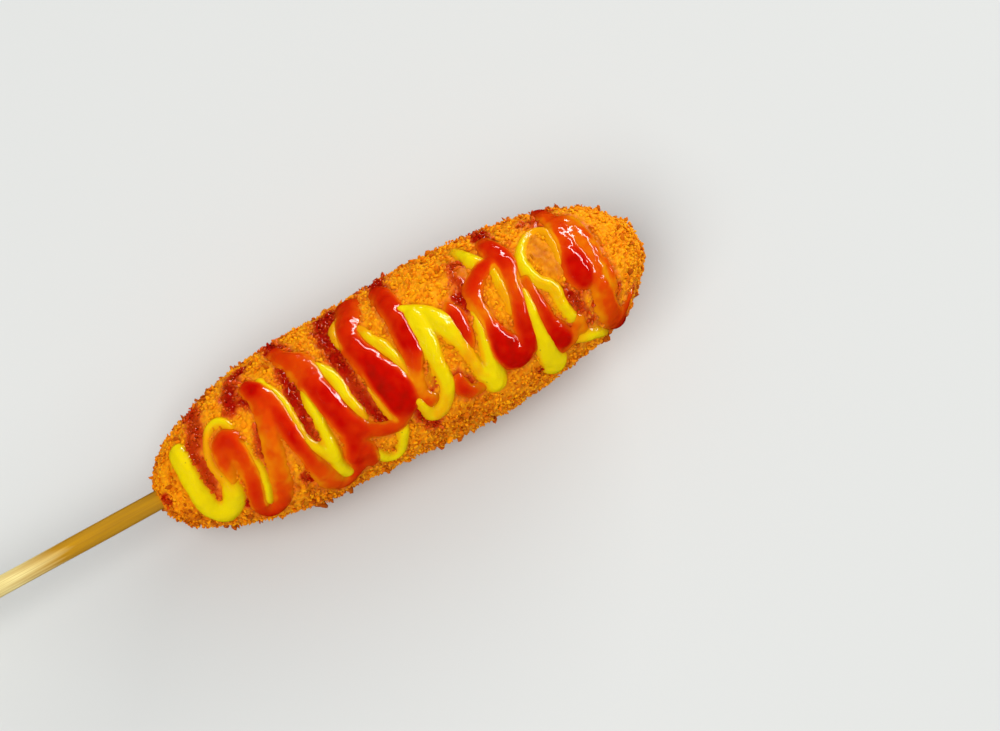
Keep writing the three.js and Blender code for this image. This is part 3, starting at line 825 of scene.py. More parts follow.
def apply_modifier(piece, kind, **settings):
    modifier = piece.modifiers.new(kind.title(), kind)
    for name, value in settings.items():
        setattr(modifier, name, value)
    bpy.ops.object.modifier_apply(modifier=modifier.name)


def finish_piece(piece, node, material):
    """Gives a finished piece its material and ties it to the frame."""
    piece.data.materials.clear()
    piece.data.materials.append(material)
    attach(piece, "root")
    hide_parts(node)
    return piece


# ---- Materials ----
def linear(code):
    """An sRGB hex colour as linear red, green and blue."""
    parts = [int(code[i : i + 2], 16) / 255 for i in (1, 3, 5)]
    return tuple(c / 12.92 if c <= 0.04045 else ((c + 0.055) / 1.055) ** 2.4 for c in parts)


def add_node(tree, kind, output, inputs=None, stops=(), **settings):
    """Adds a node with its settings, its ramp's stops and its links, and gives an output."""
    made = tree.nodes.new("ShaderNode" + kind)
    for name, value in settings.items():
        setattr(made, name, value)
    for i, (place, tone) in enumerate(stops):
        if i >= len(made.color_ramp.elements):
            made.color_ramp.elements.new(1.0)
        made.color_ramp.elements[i].position = place
        made.color_ramp.elements[i].color = (*tone, 1)
    for name, value in (inputs or {}).items():
        socket = made.inputs[name]
        if isinstance(value, bpy.types.NodeSocket):
            tree.links.new(value, socket)
        elif socket.type == "RGBA":
            socket.default_value = (*value, 1)
        else:
            socket.default_value = value
    return made.outputs[output]


MIX_FACTOR, MIX_FIRST, MIX_SECOND, MIX_RESULT = 0, 6, 7, 2


def start_material(name, **constants):
    """A material and its node tree, with the shader's constant values set."""
    material = bpy.data.materials.new(name)
    material.use_nodes = True
    shader = material.node_tree.nodes["Principled BSDF"]
    for socket, value in constants.items():
        shader.inputs[socket.replace("_", " ")].default_value = value
    return material, material.node_tree


def layered(tree, base, layers):
    """Lays tones over a base colour, each fully where its amount has gone from low to high."""
    for amount, low, high, most, tone in layers:
        limits = {"Value": amount, "From Min": low, "From Max": high, "To Max": most}
        share = add_node(tree, "MapRange", "Result", limits)
        mixed = {MIX_FACTOR: share, MIX_FIRST: base, MIX_SECOND: tone}
        base = add_node(tree, "Mix", MIX_RESULT, mixed, data_type="RGBA")
    return base


def finish_material(material, base, gloss, grain, strength, depth):
    """Gives a material its colour, its gloss and a grain of some strength and depth."""
    tree = material.node_tree
    links = {"Base Color": base}
    for socket, amount, low, high in gloss:
        limits = {"Value": amount, "To Min": low, "To Max": high}
        links[socket] = add_node(tree, "MapRange", "Result", limits)
    relief = {"Height": grain, "Strength": strength, "Distance": depth}
    links["Normal"] = add_node(tree, "Bump", "Normal", relief)
    for socket, output in links.items():
        tree.links.new(output, tree.nodes["Principled BSDF"].inputs[socket])
    return material


def fried_crumb(sizes):
    """Deep-fried breadcrumb: dry, rough and oily, golden with toasted and soaked crumbs."""
    found = bpy.data.materials.get("fried_crumb")
    if found:
        return found
    material, tree = start_material(
        "fried_crumb",
        IOR=1.45,
        Subsurface_Weight=0.35,
        Subsurface_Scale=0.0008,
        Subsurface_Radius=(1.0, 0.45, 0.1),
    )
    place = add_node(tree, "TexCoord", "Object")
    own, hollow, soak, glaze = (
        add_node(tree, "Attribute", "Fac", attribute_name=name)
        for name in ("shade", "hollow", "soak", "glaze")
    )
    # Each crumb has one shade, and patches of 12 mm are fried a little darker or paler.
    patches = {"Vector": place, "Scale": 1 / 0.012, "Detail": 2}
    patches = add_node(tree, "TexNoise", "Fac", patches)
    shade = {0: patches, 1: 0.5, 2: -0.25}
    shade = add_node(tree, "Math", 0, shade, operation="MULTIPLY_ADD")
    shade = add_node(tree, "Math", 0, {0: shade, 1: own}, operation="ADD")
    stops = ((0, sizes.toasted), (0.3, sizes.amber), (0.62, sizes.golden), (1, sizes.pale))
    base = add_node(tree, "ValToRGB", "Color", {"Fac": shade}, stops)
    # A little ketchup tints the crumbs orange, more of it turns them deep red.
    layers = (
        (glaze, 0, 1, 1, sizes.glaze),
        (soak, 0, 0.45, 1, sizes.tinted),
        # Painted shade darkens the hollows between the crumbs.
        (hollow, 0, 1, 1, sizes.hollow),
        (soak, 0.4, 0.92, 1, sizes.soaked),
    )
    # Soaked crumbs are wet and shine, dry ones are only oily.
    wet = add_node(tree, "Math", 0, {0: glaze, 1: 0.14}, operation="MULTIPLY")
    wet = add_node(tree, "Math", 0, {0: soak, 1: wet}, operation="MAXIMUM")
    gloss = (("Roughness", wet, 0.6, 0.03), ("Specular IOR Level", wet, 0.07, 0.9))
    # The pores of a crumb are about 0.3 mm.
    pores = {"Vector": place, "Scale": 1 / 0.0003, "Detail": 2}
    pores = add_node(tree, "TexNoise", "Fac", pores)
    return finish_material(material, layered(tree, base, layers), gloss, pores, 0.35, 0.0001)


def wet_ketchup(sizes):
    """Tomato ketchup: smooth and wet, deep red where thick and orange where thin."""
    material, tree = start_material(
        "wet_ketchup",
        IOR=1.5,
        Subsurface_Weight=0.2,
        Subsurface_Scale=0.001,
        Subsurface_Radius=(1.0, 0.3, 0.1),
    )
    depth = add_node(tree, "Attribute", "Fac", attribute_name="depth")
    stops = (
        (0, sizes.ketchup_film),
        (0.26, sizes.ketchup_thin),
        (0.58, sizes.ketchup),
        (0.85, sizes.ketchup_thick),
        # The darkest stop is deep ketchup and also painted shade low on the sides.
        (1, sizes.ketchup_deep_and_shade),
    )
    base = add_node(tree, "ValToRGB", "Color", {"Fac": depth}, stops)
    # Pulp gives the surface a grain of about 0.8 mm.
    place = add_node(tree, "TexCoord", "Object")
    pulp = {"Vector": place, "Scale": 1 / 0.0008, "Detail": 2}
    pulp = add_node(tree, "TexNoise", "Fac", pulp)
    gloss = [("Roughness", pulp, 0.04, 0.15)]
    return finish_material(material, base, gloss, pulp, 0.35, 0.0001)


def smooth_mustard(sizes):
    """Yellow mustard: opaque and smooth with a soft gloss and a few specks of seed."""
    material, tree = start_material(
        "smooth_mustard",
        IOR=1.42,
        Subsurface_Weight=0.2,
        Subsurface_Scale=0.001,
        Subsurface_Radius=(1.0, 0.7, 0.15),
    )
    place = add_node(tree, "TexCoord", "Object")
    tint = add_node(tree, "Attribute", "Fac", attribute_name="tint")
    # Specks of seed are about 0.4 mm, a few in each square centimetre.
    cells = {"Vector": place, "Scale": 1 / 0.0035}
    cells = add_node(tree, "TexVoronoi", "Distance", cells)
    layers = ((tint, 0, 1, 1, sizes.mustard_stained), (cells, 0.09, 0.05, 0.7, sizes.seed))
    # Its surface ripples over about 1.5 mm.
    ripples = {"Vector": place, "Scale": 1 / 0.0015, "Detail": 2}
    ripples = add_node(tree, "TexNoise", "Fac", ripples)
    base = layered(tree, sizes.mustard, layers)
    gloss = [("Roughness", ripples, 0.08, 0.22)]
    return finish_material(material, base, gloss, ripples, 0.6, 0.00025)


def turned_bamboo(sizes):
    """Round bamboo, turned and sanded: pale, with fine fibres, and golden where oil has run."""
    material, tree = start_material("turned_bamboo", IOR=1.5)
    place = add_node(tree, "TexCoord", "Object")
    # Fibres are about 0.35 mm wide and 40 mm long, streaks 1.6 mm wide and 30 mm long.
    grains = []
    for long, wide, detail in ((0.04, 0.00035, 3), (0.03, 0.0016, 2)):
        stretched = {"Vector": place, "Scale": (1 / long, 1 / wide, 1 / wide)}
        stretched = add_node(tree, "Mapping", "Vector", stretched)
        noise = {"Vector": stretched, "Scale": 1, "Detail": detail}
        grains.append(add_node(tree, "TexNoise", "Fac", noise))
    fine, broad = grains
    # Oil has run 30 to 45 mm out of the batter along the stick, further along some streaks.
    along = add_node(tree, "SeparateXYZ", "X", {"Vector": place})
    reach = {0: broad, 1: 0.02, 2: along}
    reach = add_node(tree, "Math", 0, reach, operation="MULTIPLY_ADD")
    dry, oily = -0.122, -0.104
    layers = (
        (reach, dry, oily, 1, sizes.wood_oiled),
        (broad, 0.42, 0.62, 0.3, sizes.wood_fibre),
        (fine, 0.5, 0.75, 0.5, sizes.wood_fibre),
    )
    oiled = {"Value": reach, "From Min": dry, "From Max": oily}
    oiled = add_node(tree, "MapRange", "Result", oiled)
    base = layered(tree, sizes.wood, layers)
    gloss = [("Roughness", oiled, 0.55, 0.36)]
    return finish_material(material, base, gloss, fine, 0.5, 0.00015)


# ---- Settings ----
def number(name, description, default, **limits):
    limits = {"min": 0, **limits}
    return bpy.props.FloatProperty(
        name=name, description=description, default=default, **limits
    )


def length(name, description, default):
    return number(name, description, default, unit="LENGTH", precision=5)


def tally(name, description, default, most):
    return bpy.props.IntProperty(
        name=name, description=description, default=default, min=0, max=most
    )


def colour(name, description, code):
    return bpy.props.FloatVectorProperty(
        name=name,
        description=description,
        default=linear(code),
        size=3,
        min=0,
        max=1,
        subtype="COLOR",
    )


class CornDogCrust(bpy.types.PropertyGroup):
    """Sizes and colours of the crumbed crust."""

    relief: length("Crumb relief", "How far crumbs stand out of the batter", 0.0009)
    swell: length("Swells", "Height of the slow swells of the batter", 0.0004)
    crumb_size: length("Crumb size", "Distance between the crumbs in the crust", 0.0009)
    grain_radius: length("Grain radius", "Radius of the loose fine crumbs", 0.00056)
    grain_count: tally("Grains", "Number of fine crumbs, before sauces hide some", 7600, 9900)
    flake_radius: length("Flake radius", "Half the length of the coarse crumbs", 0.001)
    flake_count: tally("Flakes", "Number of coarse crumbs, before sauces hide some", 2300, 4000)
    pale: colour("Pale crumb", "Colour of the palest crumbs", "#F4A80A")
    golden: colour("Golden crumb", "Colour of most crumbs", "#F29A0C")
    amber: colour("Amber crumb", "Colour of well-fried crumbs", "#DE7806")
    toasted: colour("Toasted crumb", "Colour of the darkest crumbs", "#AC4E04")
    # Painted shade: the colour laid in the hollows between the crumbs.
    hollow: colour("Hollows", "Colour between the crumbs", "#BE6203")
    glaze: colour("Glaze", "Colour of crumbs under a film of both sauces", "#C66E00")
    tinted: colour("Tinted crumb", "Colour of crumbs tinted by ketchup", "#D65204")
    soaked: colour("Soaked crumb", "Colour of crumbs full of ketchup", "#A81204")


class CornDogSauces(bpy.types.PropertyGroup):
    """Sizes and colours of the drizzles."""

    ketchup_fullness: number(
        "Ketchup fullness", "Height of a ketchup rope over its width", 0.34, min=0.1, max=1
    )
    mustard_fullness: number(
        "Mustard fullness", "Height of a mustard rope over its width", 0.36, min=0.1, max=1
    )
    grid: length("Mesh grid", "Spacing of the drizzles' mesh", 0.00037)
    # The darkest ketchup, reached where it is deepest and mostly where painted shade darkens it
    # low on the sides.
    ketchup_deep_and_shade: colour("Dark ketchup", "Colour of ketchup over toasted crumbs", "#9A0E02")
    ketchup_thick: colour("Thick ketchup", "Colour of the thickest ketchup", "#B80700")
    ketchup: colour("Ketchup", "Colour of most ketchup", "#C62602")
    ketchup_thin: colour("Thin ketchup", "Colour of thin ketchup", "#D04402")
    ketchup_film: colour("Ketchup film", "Colour of ketchup run into mustard", "#DC8204")
    mustard: colour("Mustard", "Colour of the mustard", "#DEC402")
    mustard_stained: colour("Stained mustard", "Colour of mustard beside ketchup", "#E09604")
    seed: colour("Seed specks", "Colour of the specks in the mustard", "#8C7A14")


class CornDogStick(bpy.types.PropertyGroup):
    """Sizes and colours of the stick."""

    diameter: length("Diameter", "Diameter of the stick", 0.0057)
    rim: length("Rim", "Rounding of the stick's ends", 0.0004)
    wood: colour("Bamboo", "Colour of the dry end of the stick", "#E9D68C")
    wood_oiled: colour("Oiled bamboo", "Colour of the stick near the batter", "#BA8604")
    wood_fibre: colour("Fibres", "Colour of the dark fibres and streaks", "#946512")


class CornDogStage(bpy.types.PropertyGroup):
    """Floor, lights and camera."""

    floor: colour("Floor", "Colour of the floor", "#CBCCC9")
    sky: colour("Sky colour", "Colour of the light from all around", "#F4F6FA")
    sky_power: number("Sky", "Strength of the light from all around", 0.45)
    window_power: number("Window", "Power of the window light in watts", 28)
    fill_power: number("Fill", "Power in watts of the light that gives no highlights", 23)
    elevation: number(
        "Camera elevation", "Camera's angle above the floor", math.radians(72), subtype="ANGLE"
    )
    azimuth: number(
        "Camera direction", "Camera's turn from +X to +Y", math.radians(240.07), subtype="ANGLE"
    )
    distance: length("Camera distance", "Distance of the camera from the body", 1.6)
    view_width: length("View width", "Width that the camera sees at the body", 1000 / 3500)


# ---- Operators ----
class CORNDOG_OT_crust(bpy.types.Operator):
    """Adds the crust, a closed skin of pressed crumbs"""

    bl_idname = "corndog.crust"
    bl_label = "Crust"

    ROWS = 330
    SECTORS = 264
    TOPS = (1.6, 2.2)  # the beta distribution of the crumbs' heights
    SUNK = 0.35  # share of the relief that lies below the smooth crust
    TILT = 0.25
    MOST_LEAN = 0.25  # how far a tilted crumb's side rises at most, in millimetres
    EDGE_WIDTH = 0.22  # of the dips between crumbs and of their painted shade, as a share of their spacing
    EDGE_DEPTH = 0.3
    # how dark the painted shade in the hollows between crumbs is
    HOLLOW_SHADE_STRENGTH = 0.5
    SHADES = (0.74, 0.13)  # their middle and spread
    CLUMP_SHADE = 0.3
    # Crumbs lie flat under the ropes, sunk in the glaze, and swollen where soaked.
    COVERED_OVER, FLATTENED = (0.5, 0.1), 0.75
    FLAT_ENOUGH = 0.1
    GLAZE_SINK, GLAZE_DEPTH = 0.3, 0.2
    SOAKED_OVER, SOAKED_SWELL = (0.6, -0.6), 0.1
    STILL_ENDS = ((0, 0.01), (1.0, 0.995))  # the poles stay smooth

    def execute(self, context):
        sizes = context.scene.corn_dog_crust
        _, sauces = squeezed(context)
        start_piece()
        bpy.ops.mesh.primitive_uv_sphere_add(segments=self.SECTORS, ring_count=self.ROWS)
        crust = name_piece("crust")
        sphere = read_points(crust.data) * MM
        rows = np.arccos(np.clip(sphere[:, 2], -1, 1)) / math.pi
        angles = np.arctan2(sphere[:, 1], sphere[:, 0])
        stations = np.interp(rows * CURVE_LENGTHS[-1], CURVE_LENGTHS, CURVE_STATIONS)
        points = on_crust(stations, angles)
        mouth = rows < 0.5 / self.ROWS
        points[mouth] = (OUTLINE[0, 0] + MOUTH_DEPTH - FLAT_STATION, 0, AXIS_HEIGHT)

        heights, shades, hollows = self.pressed_crumbs(points, sizes)
        flat = 1 - self.FLATTENED * ramp(sauces.gap(stations, angles), *self.COVERED_OVER)
        heights = np.where(heights > self.FLAT_ENOUGH, heights * flat, heights)
        glazed = sauces.read(sauces.glaze, stations, angles)
        heights = heights * (1 - self.GLAZE_SINK * glazed) + self.GLAZE_DEPTH * glazed
        soaked = ramp(sauces.edge("soaked", stations, angles), *self.SOAKED_OVER)
        heights += self.SOAKED_SWELL * soaked
        for end in self.STILL_ENDS:
            heights *= ramp(rows, *end)
        normals = crust_normals(stations, angles)
        points[~mouth] += (normals * heights[:, None])[~mouth]
        write_points(crust.data, rest_on_floor(points))
        face_outwards()

        soak, glaze = soaking(sauces, points, stations, angles)
        # Painted shade darkens the crumbs low on the sides, and they are darker toward the
        # stick's end.
        shades = shades - side_shade_and_darker_end(stations, angles)
        write_attributes(crust.data, shade=shades, hollow=hollows, soak=soak, glaze=glaze)
        bpy.ops.object.shade_smooth_by_angle(angle=math.radians(50))
        finish_piece(crust, "corn_dog", fried_crumb(sizes))
        return {"FINISHED"}

    def pressed_crumbs(self, points, sizes):
        """Heights, shades and painted hollow shade of crumbs pressed side by side into the
        batter.
        """
        rng = np.random.default_rng(23)
        spacing, relief = sizes.crumb_size / MM, sizes.relief / MM
        count = int(2 * math.pi * CURVE_AREAS[-1] / spacing**2)
        centres = on_crust(*scatter(count, rng))
        tree = kdtree.KDTree(count)
        for i, centre in enumerate(centres):
            tree.insert(centre, i)
        tree.balance()
        tops = rng.beta(*self.TOPS, count) * relief - self.SUNK * relief
        tilts = rng.normal(0, self.TILT, (count, 3))
        clumps = np.clip(soft_noise(centres, clumps=1), 0, 1)
        shades = rng.normal(*self.SHADES, count) - self.CLUMP_SHADE * clumps
        hits = [tree.find_n(point, 2) for point in points]
        nearest = np.array([first[1] for first, _ in hits])
        near, far = np.array([(first[2], second[2]) for first, second in hits]).T
        lean = np.einsum("ij,ij->i", tilts[nearest], points - centres[nearest])
        edge = np.exp(-(far - near) / (self.EDGE_WIDTH * spacing))
        heights = tops[nearest] + np.clip(lean, -self.MOST_LEAN, self.MOST_LEAN)
        heights = heights - self.EDGE_DEPTH * edge * relief + swelling(points, sizes)
        return heights, np.clip(shades, 0, 1)[nearest], np.clip(self.HOLLOW_SHADE_STRENGTH * edge, 0, 1)


def swelling(points, sizes):
    """How far the batter has swollen under the crumbs at points of the crust."""
    return sizes.swell / MM * soft_noise(points, swells=1, dents=0.8)


# How much darker the crumbs are painted, and where that starts and is full: painted shade in
# degrees down the far side and the near side, and a darker colour in stations toward the stick.
SIDE_SHADE_FAR, SIDE_SHADE_NEAR, DARKER_END = (0.24, 46, 80), (0.2, 26, 66), (0.14, 22, 6)


def side_shade_and_darker_end(stations, angles):
    """Painted shade that darkens the crumbs low on the sides, and how much darker they are at
    the stick's end.
    """
    around = np.degrees(angles)
    return bands((around, *SIDE_SHADE_FAR), (-around, *SIDE_SHADE_NEAR), (stations, *DARKER_END))


def scatter(count, rng):
    """Random stations and angles, spread evenly over the crust's area."""
    lengths = np.interp(rng.uniform(0, CURVE_AREAS[-1], count), CURVE_AREAS, CURVE_LENGTHS)
    stations = np.interp(lengths, CURVE_LENGTHS, CURVE_STATIONS)
    return stations, rng.uniform(-math.pi, math.pi, count)


def random_turns(count, rng):
    """Random rotation matrices."""
    w, x, y, z = unit(rng.normal(size=(count, 4))).T
    rows = (
        (1 - 2 * (y * y + z * z), 2 * (x * y - z * w), 2 * (x * z + y * w)),
        (2 * (x * y + z * w), 1 - 2 * (x * x + z * z), 2 * (y * z - x * w)),
        (2 * (x * z - y * w), 2 * (y * z + x * w), 1 - 2 * (x * x + y * y)),
    )
    return np.moveaxis(np.array(rows), -1, 0)


def crumb_shape(flaky):
    """One plain crumb's points and triangles, as a start for all the crumbs of a kind."""
    start_piece()
    if flaky:
        bpy.ops.mesh.primitive_uv_sphere_add(segments=7, ring_count=5, radius=1)
        edit_all(bpy.ops.mesh.quads_convert_to_tris)
    else:
        bpy.ops.mesh.primitive_ico_sphere_add(subdivisions=1, radius=1)
    model = bpy.context.active_object
    mesh = model.data
    points = read_points(mesh) * MM
    faces = np.array([face.vertices[:] for face in mesh.polygons])
    bpy.data.objects.remove(model)
    bpy.data.meshes.remove(mesh)
    return points, faces


JAGS = (0.72, 1.22)  # how far a crumb's corners stand out, over its size
SOAK_SHARES = (0.72, 1.05)  # how well crumbs side by side take up sauce
# Crumbs are left off nearer to a rope than a margin and a share of their size, under glaze,
# close to the stick and below the floor.
ROPE_MARGIN, ROPE_SHARE = 0.05, 0.42
MOST_GLAZED, STICK_MARGIN, LOWEST = 0.65, 0.6, -0.2


def add_crumbs(name, flaky, crumbs, rng, context):
    """Adds one piece of many crumbs, each jagged in its own way, where no sauce hides them."""
    sizes = context.scene.corn_dog_crust
    _, sauces = squeezed(context)
    plain, faces = crumb_shape(flaky)
    each = len(plain)
    jags = rng.uniform(*JAGS, (len(crumbs["stations"]), each, 1))
    shapes = plain * jags * crumbs["scales"][:, None]
    shapes = np.einsum("nij,nkj->nki", crumbs["turns"], shapes)
    stations, angles, shades = crumbs["stations"], crumbs["angles"], crumbs["shades"]
    centres = on_crust(stations, angles)
    lifts = crumbs["lifts"] + swelling(centres, sizes)
    centres += crust_normals(stations, angles) * lifts[:, None]
    clear = ROPE_MARGIN + ROPE_SHARE * crumbs["scales"].max(axis=1)
    shown = (sauces.gap(stations, angles) > clear) & (centres[:, 2] > LOWEST)
    shown &= sauces.read(sauces.glaze, stations, angles) < MOST_GLAZED
    shown &= stations > OUTLINE[0, 0] + STICK_MARGIN
    stations, angles, shades, centres, shapes = (
        values[shown] for values in (stations, angles, shades, centres, shapes)
    )
    total = len(centres)
    points = (shapes + centres[:, None]).reshape(-1, 3)
    faces = (faces[None] + (np.arange(total) * each)[:, None, None]).reshape(-1, 3)
    piece = new_piece(name, rest_on_floor(points), faces)
    soak, glaze = soaking(sauces, centres, stations, angles)
    soak *= rng.uniform(*SOAK_SHARES, total)
    # Painted shade darkens the crumbs low on the sides, and they are darker toward the stick's
    # end.
    shades = shades - side_shade_and_darker_end(stations, angles)
    layers = {"shade": shades, "hollow": np.zeros(total), "soak": soak, "glaze": glaze}
    layers = {layer: np.repeat(values, each) for layer, values in layers.items()}
    write_attributes(piece.data, **layers)
    bpy.ops.object.shade_smooth()
    finish_piece(piece, "corn_dog", fried_crumb(sizes))


class CORNDOG_OT_crumbs(bpy.types.Operator):
    """Adds the loose crumbs: fine grains of two shades, and coarse flakes with chips"""

    bl_idname = "corndog.crumbs"
    bl_label = "Crumbs"

    # Golden grains lie sunk in the batter, toasted ones stand out of it in clumps: share of
    # the count, where on the clumps they start, lifts over the relief, and their shades'
    # middle and spread.
    GRAINS = (
        ("crumbs_golden", 1.2, -2, (-0.2, 0.55), (0.8, 0.13)),
        ("crumbs_toasted", 0.7, 0.0, (0.0, 0.9), (0.46, 0.13)),
    )
    FLAKE_LIFTS, FLAKE_SHADES = (0, 0.8), (0.42, 0.2)
    # Least and most size of a kind, over the size in the settings.
    GRAIN_SIZES, FLAKE_SIZES = (0.5, 1.35), (0.5, 1.3)
    # Least and most length, width and thickness, over the crumb's own size.
    GRAIN_SCALES = ((0.9, 0.6, 0.4), (1.5, 1.0, 0.75))
    FLAKE_SCALES = ((0.9, 0.45, 0.25), (1.2, 0.8, 0.45))
    CHIP_SCALES = ((0.9, 0.35, 0.25), (1.1, 0.8, 0.5))
    CLUMP_SPREAD = 0.25
    CHIP_SHADE, CHIP_LIFT, CHIP_LEAN = 0.25, 0.25, 0.35

    def execute(self, context):
        sizes = context.scene.corn_dog_crust
        relief = sizes.relief / MM
        rng = np.random.default_rng(31)
        for name, share, clumps_from, lifts, shades in self.GRAINS:
            stations, angles = scatter(int(share * sizes.grain_count), rng)
            clumps = soft_noise(on_crust(stations, angles), clumps=1)
            clumps += rng.normal(0, self.CLUMP_SPREAD, len(stations))
            radii = (sizes.grain_radius / MM, *self.GRAIN_SIZES)
            grown = (stations[clumps > clumps_from], angles[clumps > clumps_from])
            crumbs = self.crumbs(*grown, radii, self.GRAIN_SCALES, lifts, relief, shades, rng)
            add_crumbs(name, False, crumbs, rng, context)
        radii = (sizes.flake_radius / MM, *self.FLAKE_SIZES)
        looks = (radii, self.FLAKE_SCALES, self.FLAKE_LIFTS, relief, self.FLAKE_SHADES)
        flakes = self.crumbs(*scatter(sizes.flake_count, rng), *looks, rng)
        chips = self.chips(rng)
        coarse = {key: np.concatenate([flakes[key], chips[key]]) for key in flakes}
        add_crumbs("crumbs_coarse", True, coarse, rng, context)
        return {"FINISHED"}

    def crumbs(self, stations, angles, radii, scales, lifts, relief, shades, rng):
        """Crumbs at places, each with its own size, shape, lift, shade and turn."""
        count = len(stations)
        common, least, most = radii
        radii = common * rng.uniform(least, most, (count, 1))
        return {
            "stations": stations,
            "angles": angles,
            "scales": radii * rng.uniform(*scales, (count, 3)),
            "lifts": rng.uniform(*lifts, count) * relief,
            "shades": np.clip(rng.normal(*shades, count), 0, 1),
            "turns": random_turns(count, rng),
        }

    def chips(self, rng):
        """The largest chips, each standing out of the crust at its own place."""
        stations, degrees, lengths = np.array(CHIPS, float).T
        angles = np.radians(degrees)
        normals = crust_normals(stations, angles)
        leaning = unit(normals + rng.normal(0, self.CHIP_LEAN, normals.shape))
        sideways = unit(np.cross(leaning, (0.3, 0.2, 0.9)))
        return {
            "stations": stations,
            "angles": angles,
            "scales": lengths[:, None] / 2 * rng.uniform(*self.CHIP_SCALES, normals.shape),
            "lifts": self.CHIP_LIFT * lengths,
            "shades": np.full(len(CHIPS), self.CHIP_SHADE),
            "turns": np.stack([leaning, sideways, np.cross(leaning, sideways)], axis=-1),
        }


# How far a sauce bulges between its neighbours, and sinks into the crumbs past its edge.
BULGE, SINK, SINK_OVER = 0.3, 0.7, (0, 0.35)
THINNEST = 0.1  # over the ropes' undersides
UPPER_SIDE = (-0.35, 0.2)  # heights over the crust between which a rope's upper side starts


def add_sauce(name, context):
    """Adds all the ropes of a sauce as one smooth closed piece, sagged over the other."""
    ropes, sauces = squeezed(context)
    points, faces, start = [], [], 0
    around = np.arange(RING_POINTS)
    following = (around + 1) % RING_POINTS
    for rope in ropes[name]:
        rings = rope.rings()
        last = start + (len(rings) - 1) * RING_POINTS
        hub = last + RING_POINTS
        here = start + (np.arange(len(rings) - 1) * RING_POINTS)[:, None]
        beyond = here + RING_POINTS
        sides = [
            (here + around, here + following, beyond + around),
            (here + following, beyond + following, beyond + around),
        ]
        ends = [
            (start + around, start + following, np.full(RING_POINTS, hub)),
            (last + around, last + following, np.full(RING_POINTS, hub + 1)),
        ]
        faces += [np.stack(corners, axis=-1).reshape(-1, 3) for corners in sides + ends]
        points += [rings.reshape(-1, 3), rings[[0, -1]].mean(axis=1)]
        start = hub + 2
    piece = new_piece(name, np.vstack(points), np.vstack(faces))
    face_outwards()
    grid = context.scene.corn_dog_sauces.grid
    apply_modifier(piece, "REMESH", mode="VOXEL", voxel_size=grid, use_smooth_shade=True)

    # The upper side moves onto the soft surface that all the sauces share.
    points = read_points(piece.data)
    stations, angles = place_of(points)
    away = np.hypot(points[:, 1], points[:, 2] - AXIS_HEIGHT) - crust_radius(stations, angles)
    red = sauces.read(sauces.red, stations, angles)
    yellow = sauces.read(sauces.yellow, stations, angles)
    own, other = (yellow, red) if name == "mustard" else (red, yellow)
    surface = sauces.read(sauces.surface, stations, angles)
    surface *= 1 + soft_noise(points, rope_swells=0.1)
    surface += soft_noise(points, rope_dents=0.12, crumbs_below=0.16) * own
    surface += BULGE * (own - other) - SINK * (1 - ramp(own, *SINK_OVER))
    rises = ramp(away, *UPPER_SIDE) * (np.maximum(surface, THINNEST - BURY) - away)
    write_points(piece.data, points + crust_normals(stations, angles) * rises[:, None])
    apply_modifier(piece, "SMOOTH", factor=0.5, iterations=3)
    return piece, sauces, stations, angles


class CORNDOG_OT_mustard(bpy.types.Operator):
    """Adds the mustard drizzle"""

    bl_idname = "corndog.mustard"
    bl_label = "Mustard"

    # Ketchup beside it, thin edges and stained stretches turn it orange.
    BESIDE_KETCHUP, THIN_EDGE, STAINED = (0.06, 0.6), (0.85, 0.15), (0.9, 0.2)
    THIN_TINT = 0.75

    def execute(self, context):
        mustard, sauces, stations, angles = add_sauce("mustard", context)
        red = sauces.read(sauces.red, stations, angles)
        thickness = sauces.read(sauces.thickness["mustard"], stations, angles)
        clear = sauces.read(sauces.strengths["mustard"], stations, angles, 1.0)
        clear += soft_noise(read_points(mustard.data), mustard_patches=0.2)
        tints = (
            ramp(red, *self.BESIDE_KETCHUP),
            self.THIN_TINT * ramp(thickness, *self.THIN_EDGE),
            ramp(clear, *self.STAINED),
        )
        write_attributes(mustard.data, tint=np.max(tints, axis=0))
        material = smooth_mustard(context.scene.corn_dog_sauces)
        finish_piece(mustard, "corn_dog", material)
        return {"FINISHED"}


class CORNDOG_OT_ketchup(bpy.types.Operator):
    """Adds the ketchup drizzle, with the films where it has run into the mustard"""

    bl_idname = "corndog.ketchup"
    bl_label = "Ketchup"

    # Depth of colour follows the thickness and is less over mustard, and painted shade makes it
    # darker low on the sides: how much darker, and between which degrees.
    DEPTH, THIN_SHARE, THICK_OVER = 0.88, 0.25, (0.1, 1.5)
    PALER, MUSTARD_UNDER, SHOWN_THROUGH = 0.3, (0.15, 0.9), (0.4, 1.4)
    DARK_FAR, DARK_NEAR = (0.25, 38, 56), (0.35, 78, 98)

    def execute(self, context):
        ketchup, sauces, stations, angles = add_sauce("ketchup", context)
        points = read_points(ketchup.data)
        thickness = sauces.read(sauces.thickness["ketchup"], stations, angles)
        mustard = sauces.read(sauces.thickness["mustard"], stations, angles)
        strength = sauces.read(sauces.strengths["ketchup"], stations, angles, PLAIN_STRENGTH)
        depth = self.DEPTH * strength
        thick = ramp(thickness, *self.THICK_OVER)
        depth *= self.THIN_SHARE + (1 - self.THIN_SHARE) * thick
        through = 1 - ramp(thickness, *self.SHOWN_THROUGH)
        depth -= self.PALER * ramp(mustard, *self.MUSTARD_UNDER) * through
        around = np.degrees(angles)
        # Painted shade: the ketchup is darker low on the sides.
        depth += bands((around, *self.DARK_FAR), (-around, *self.DARK_NEAR))
        depth += soft_noise(points, ketchup_patches=0.12, ketchup_pulp=0.05)
        write_attributes(ketchup.data, depth=np.clip(depth, 0, 1))
        material = wet_ketchup(context.scene.corn_dog_sauces)
        finish_piece(ketchup, "corn_dog", material)
        return {"FINISHED"}


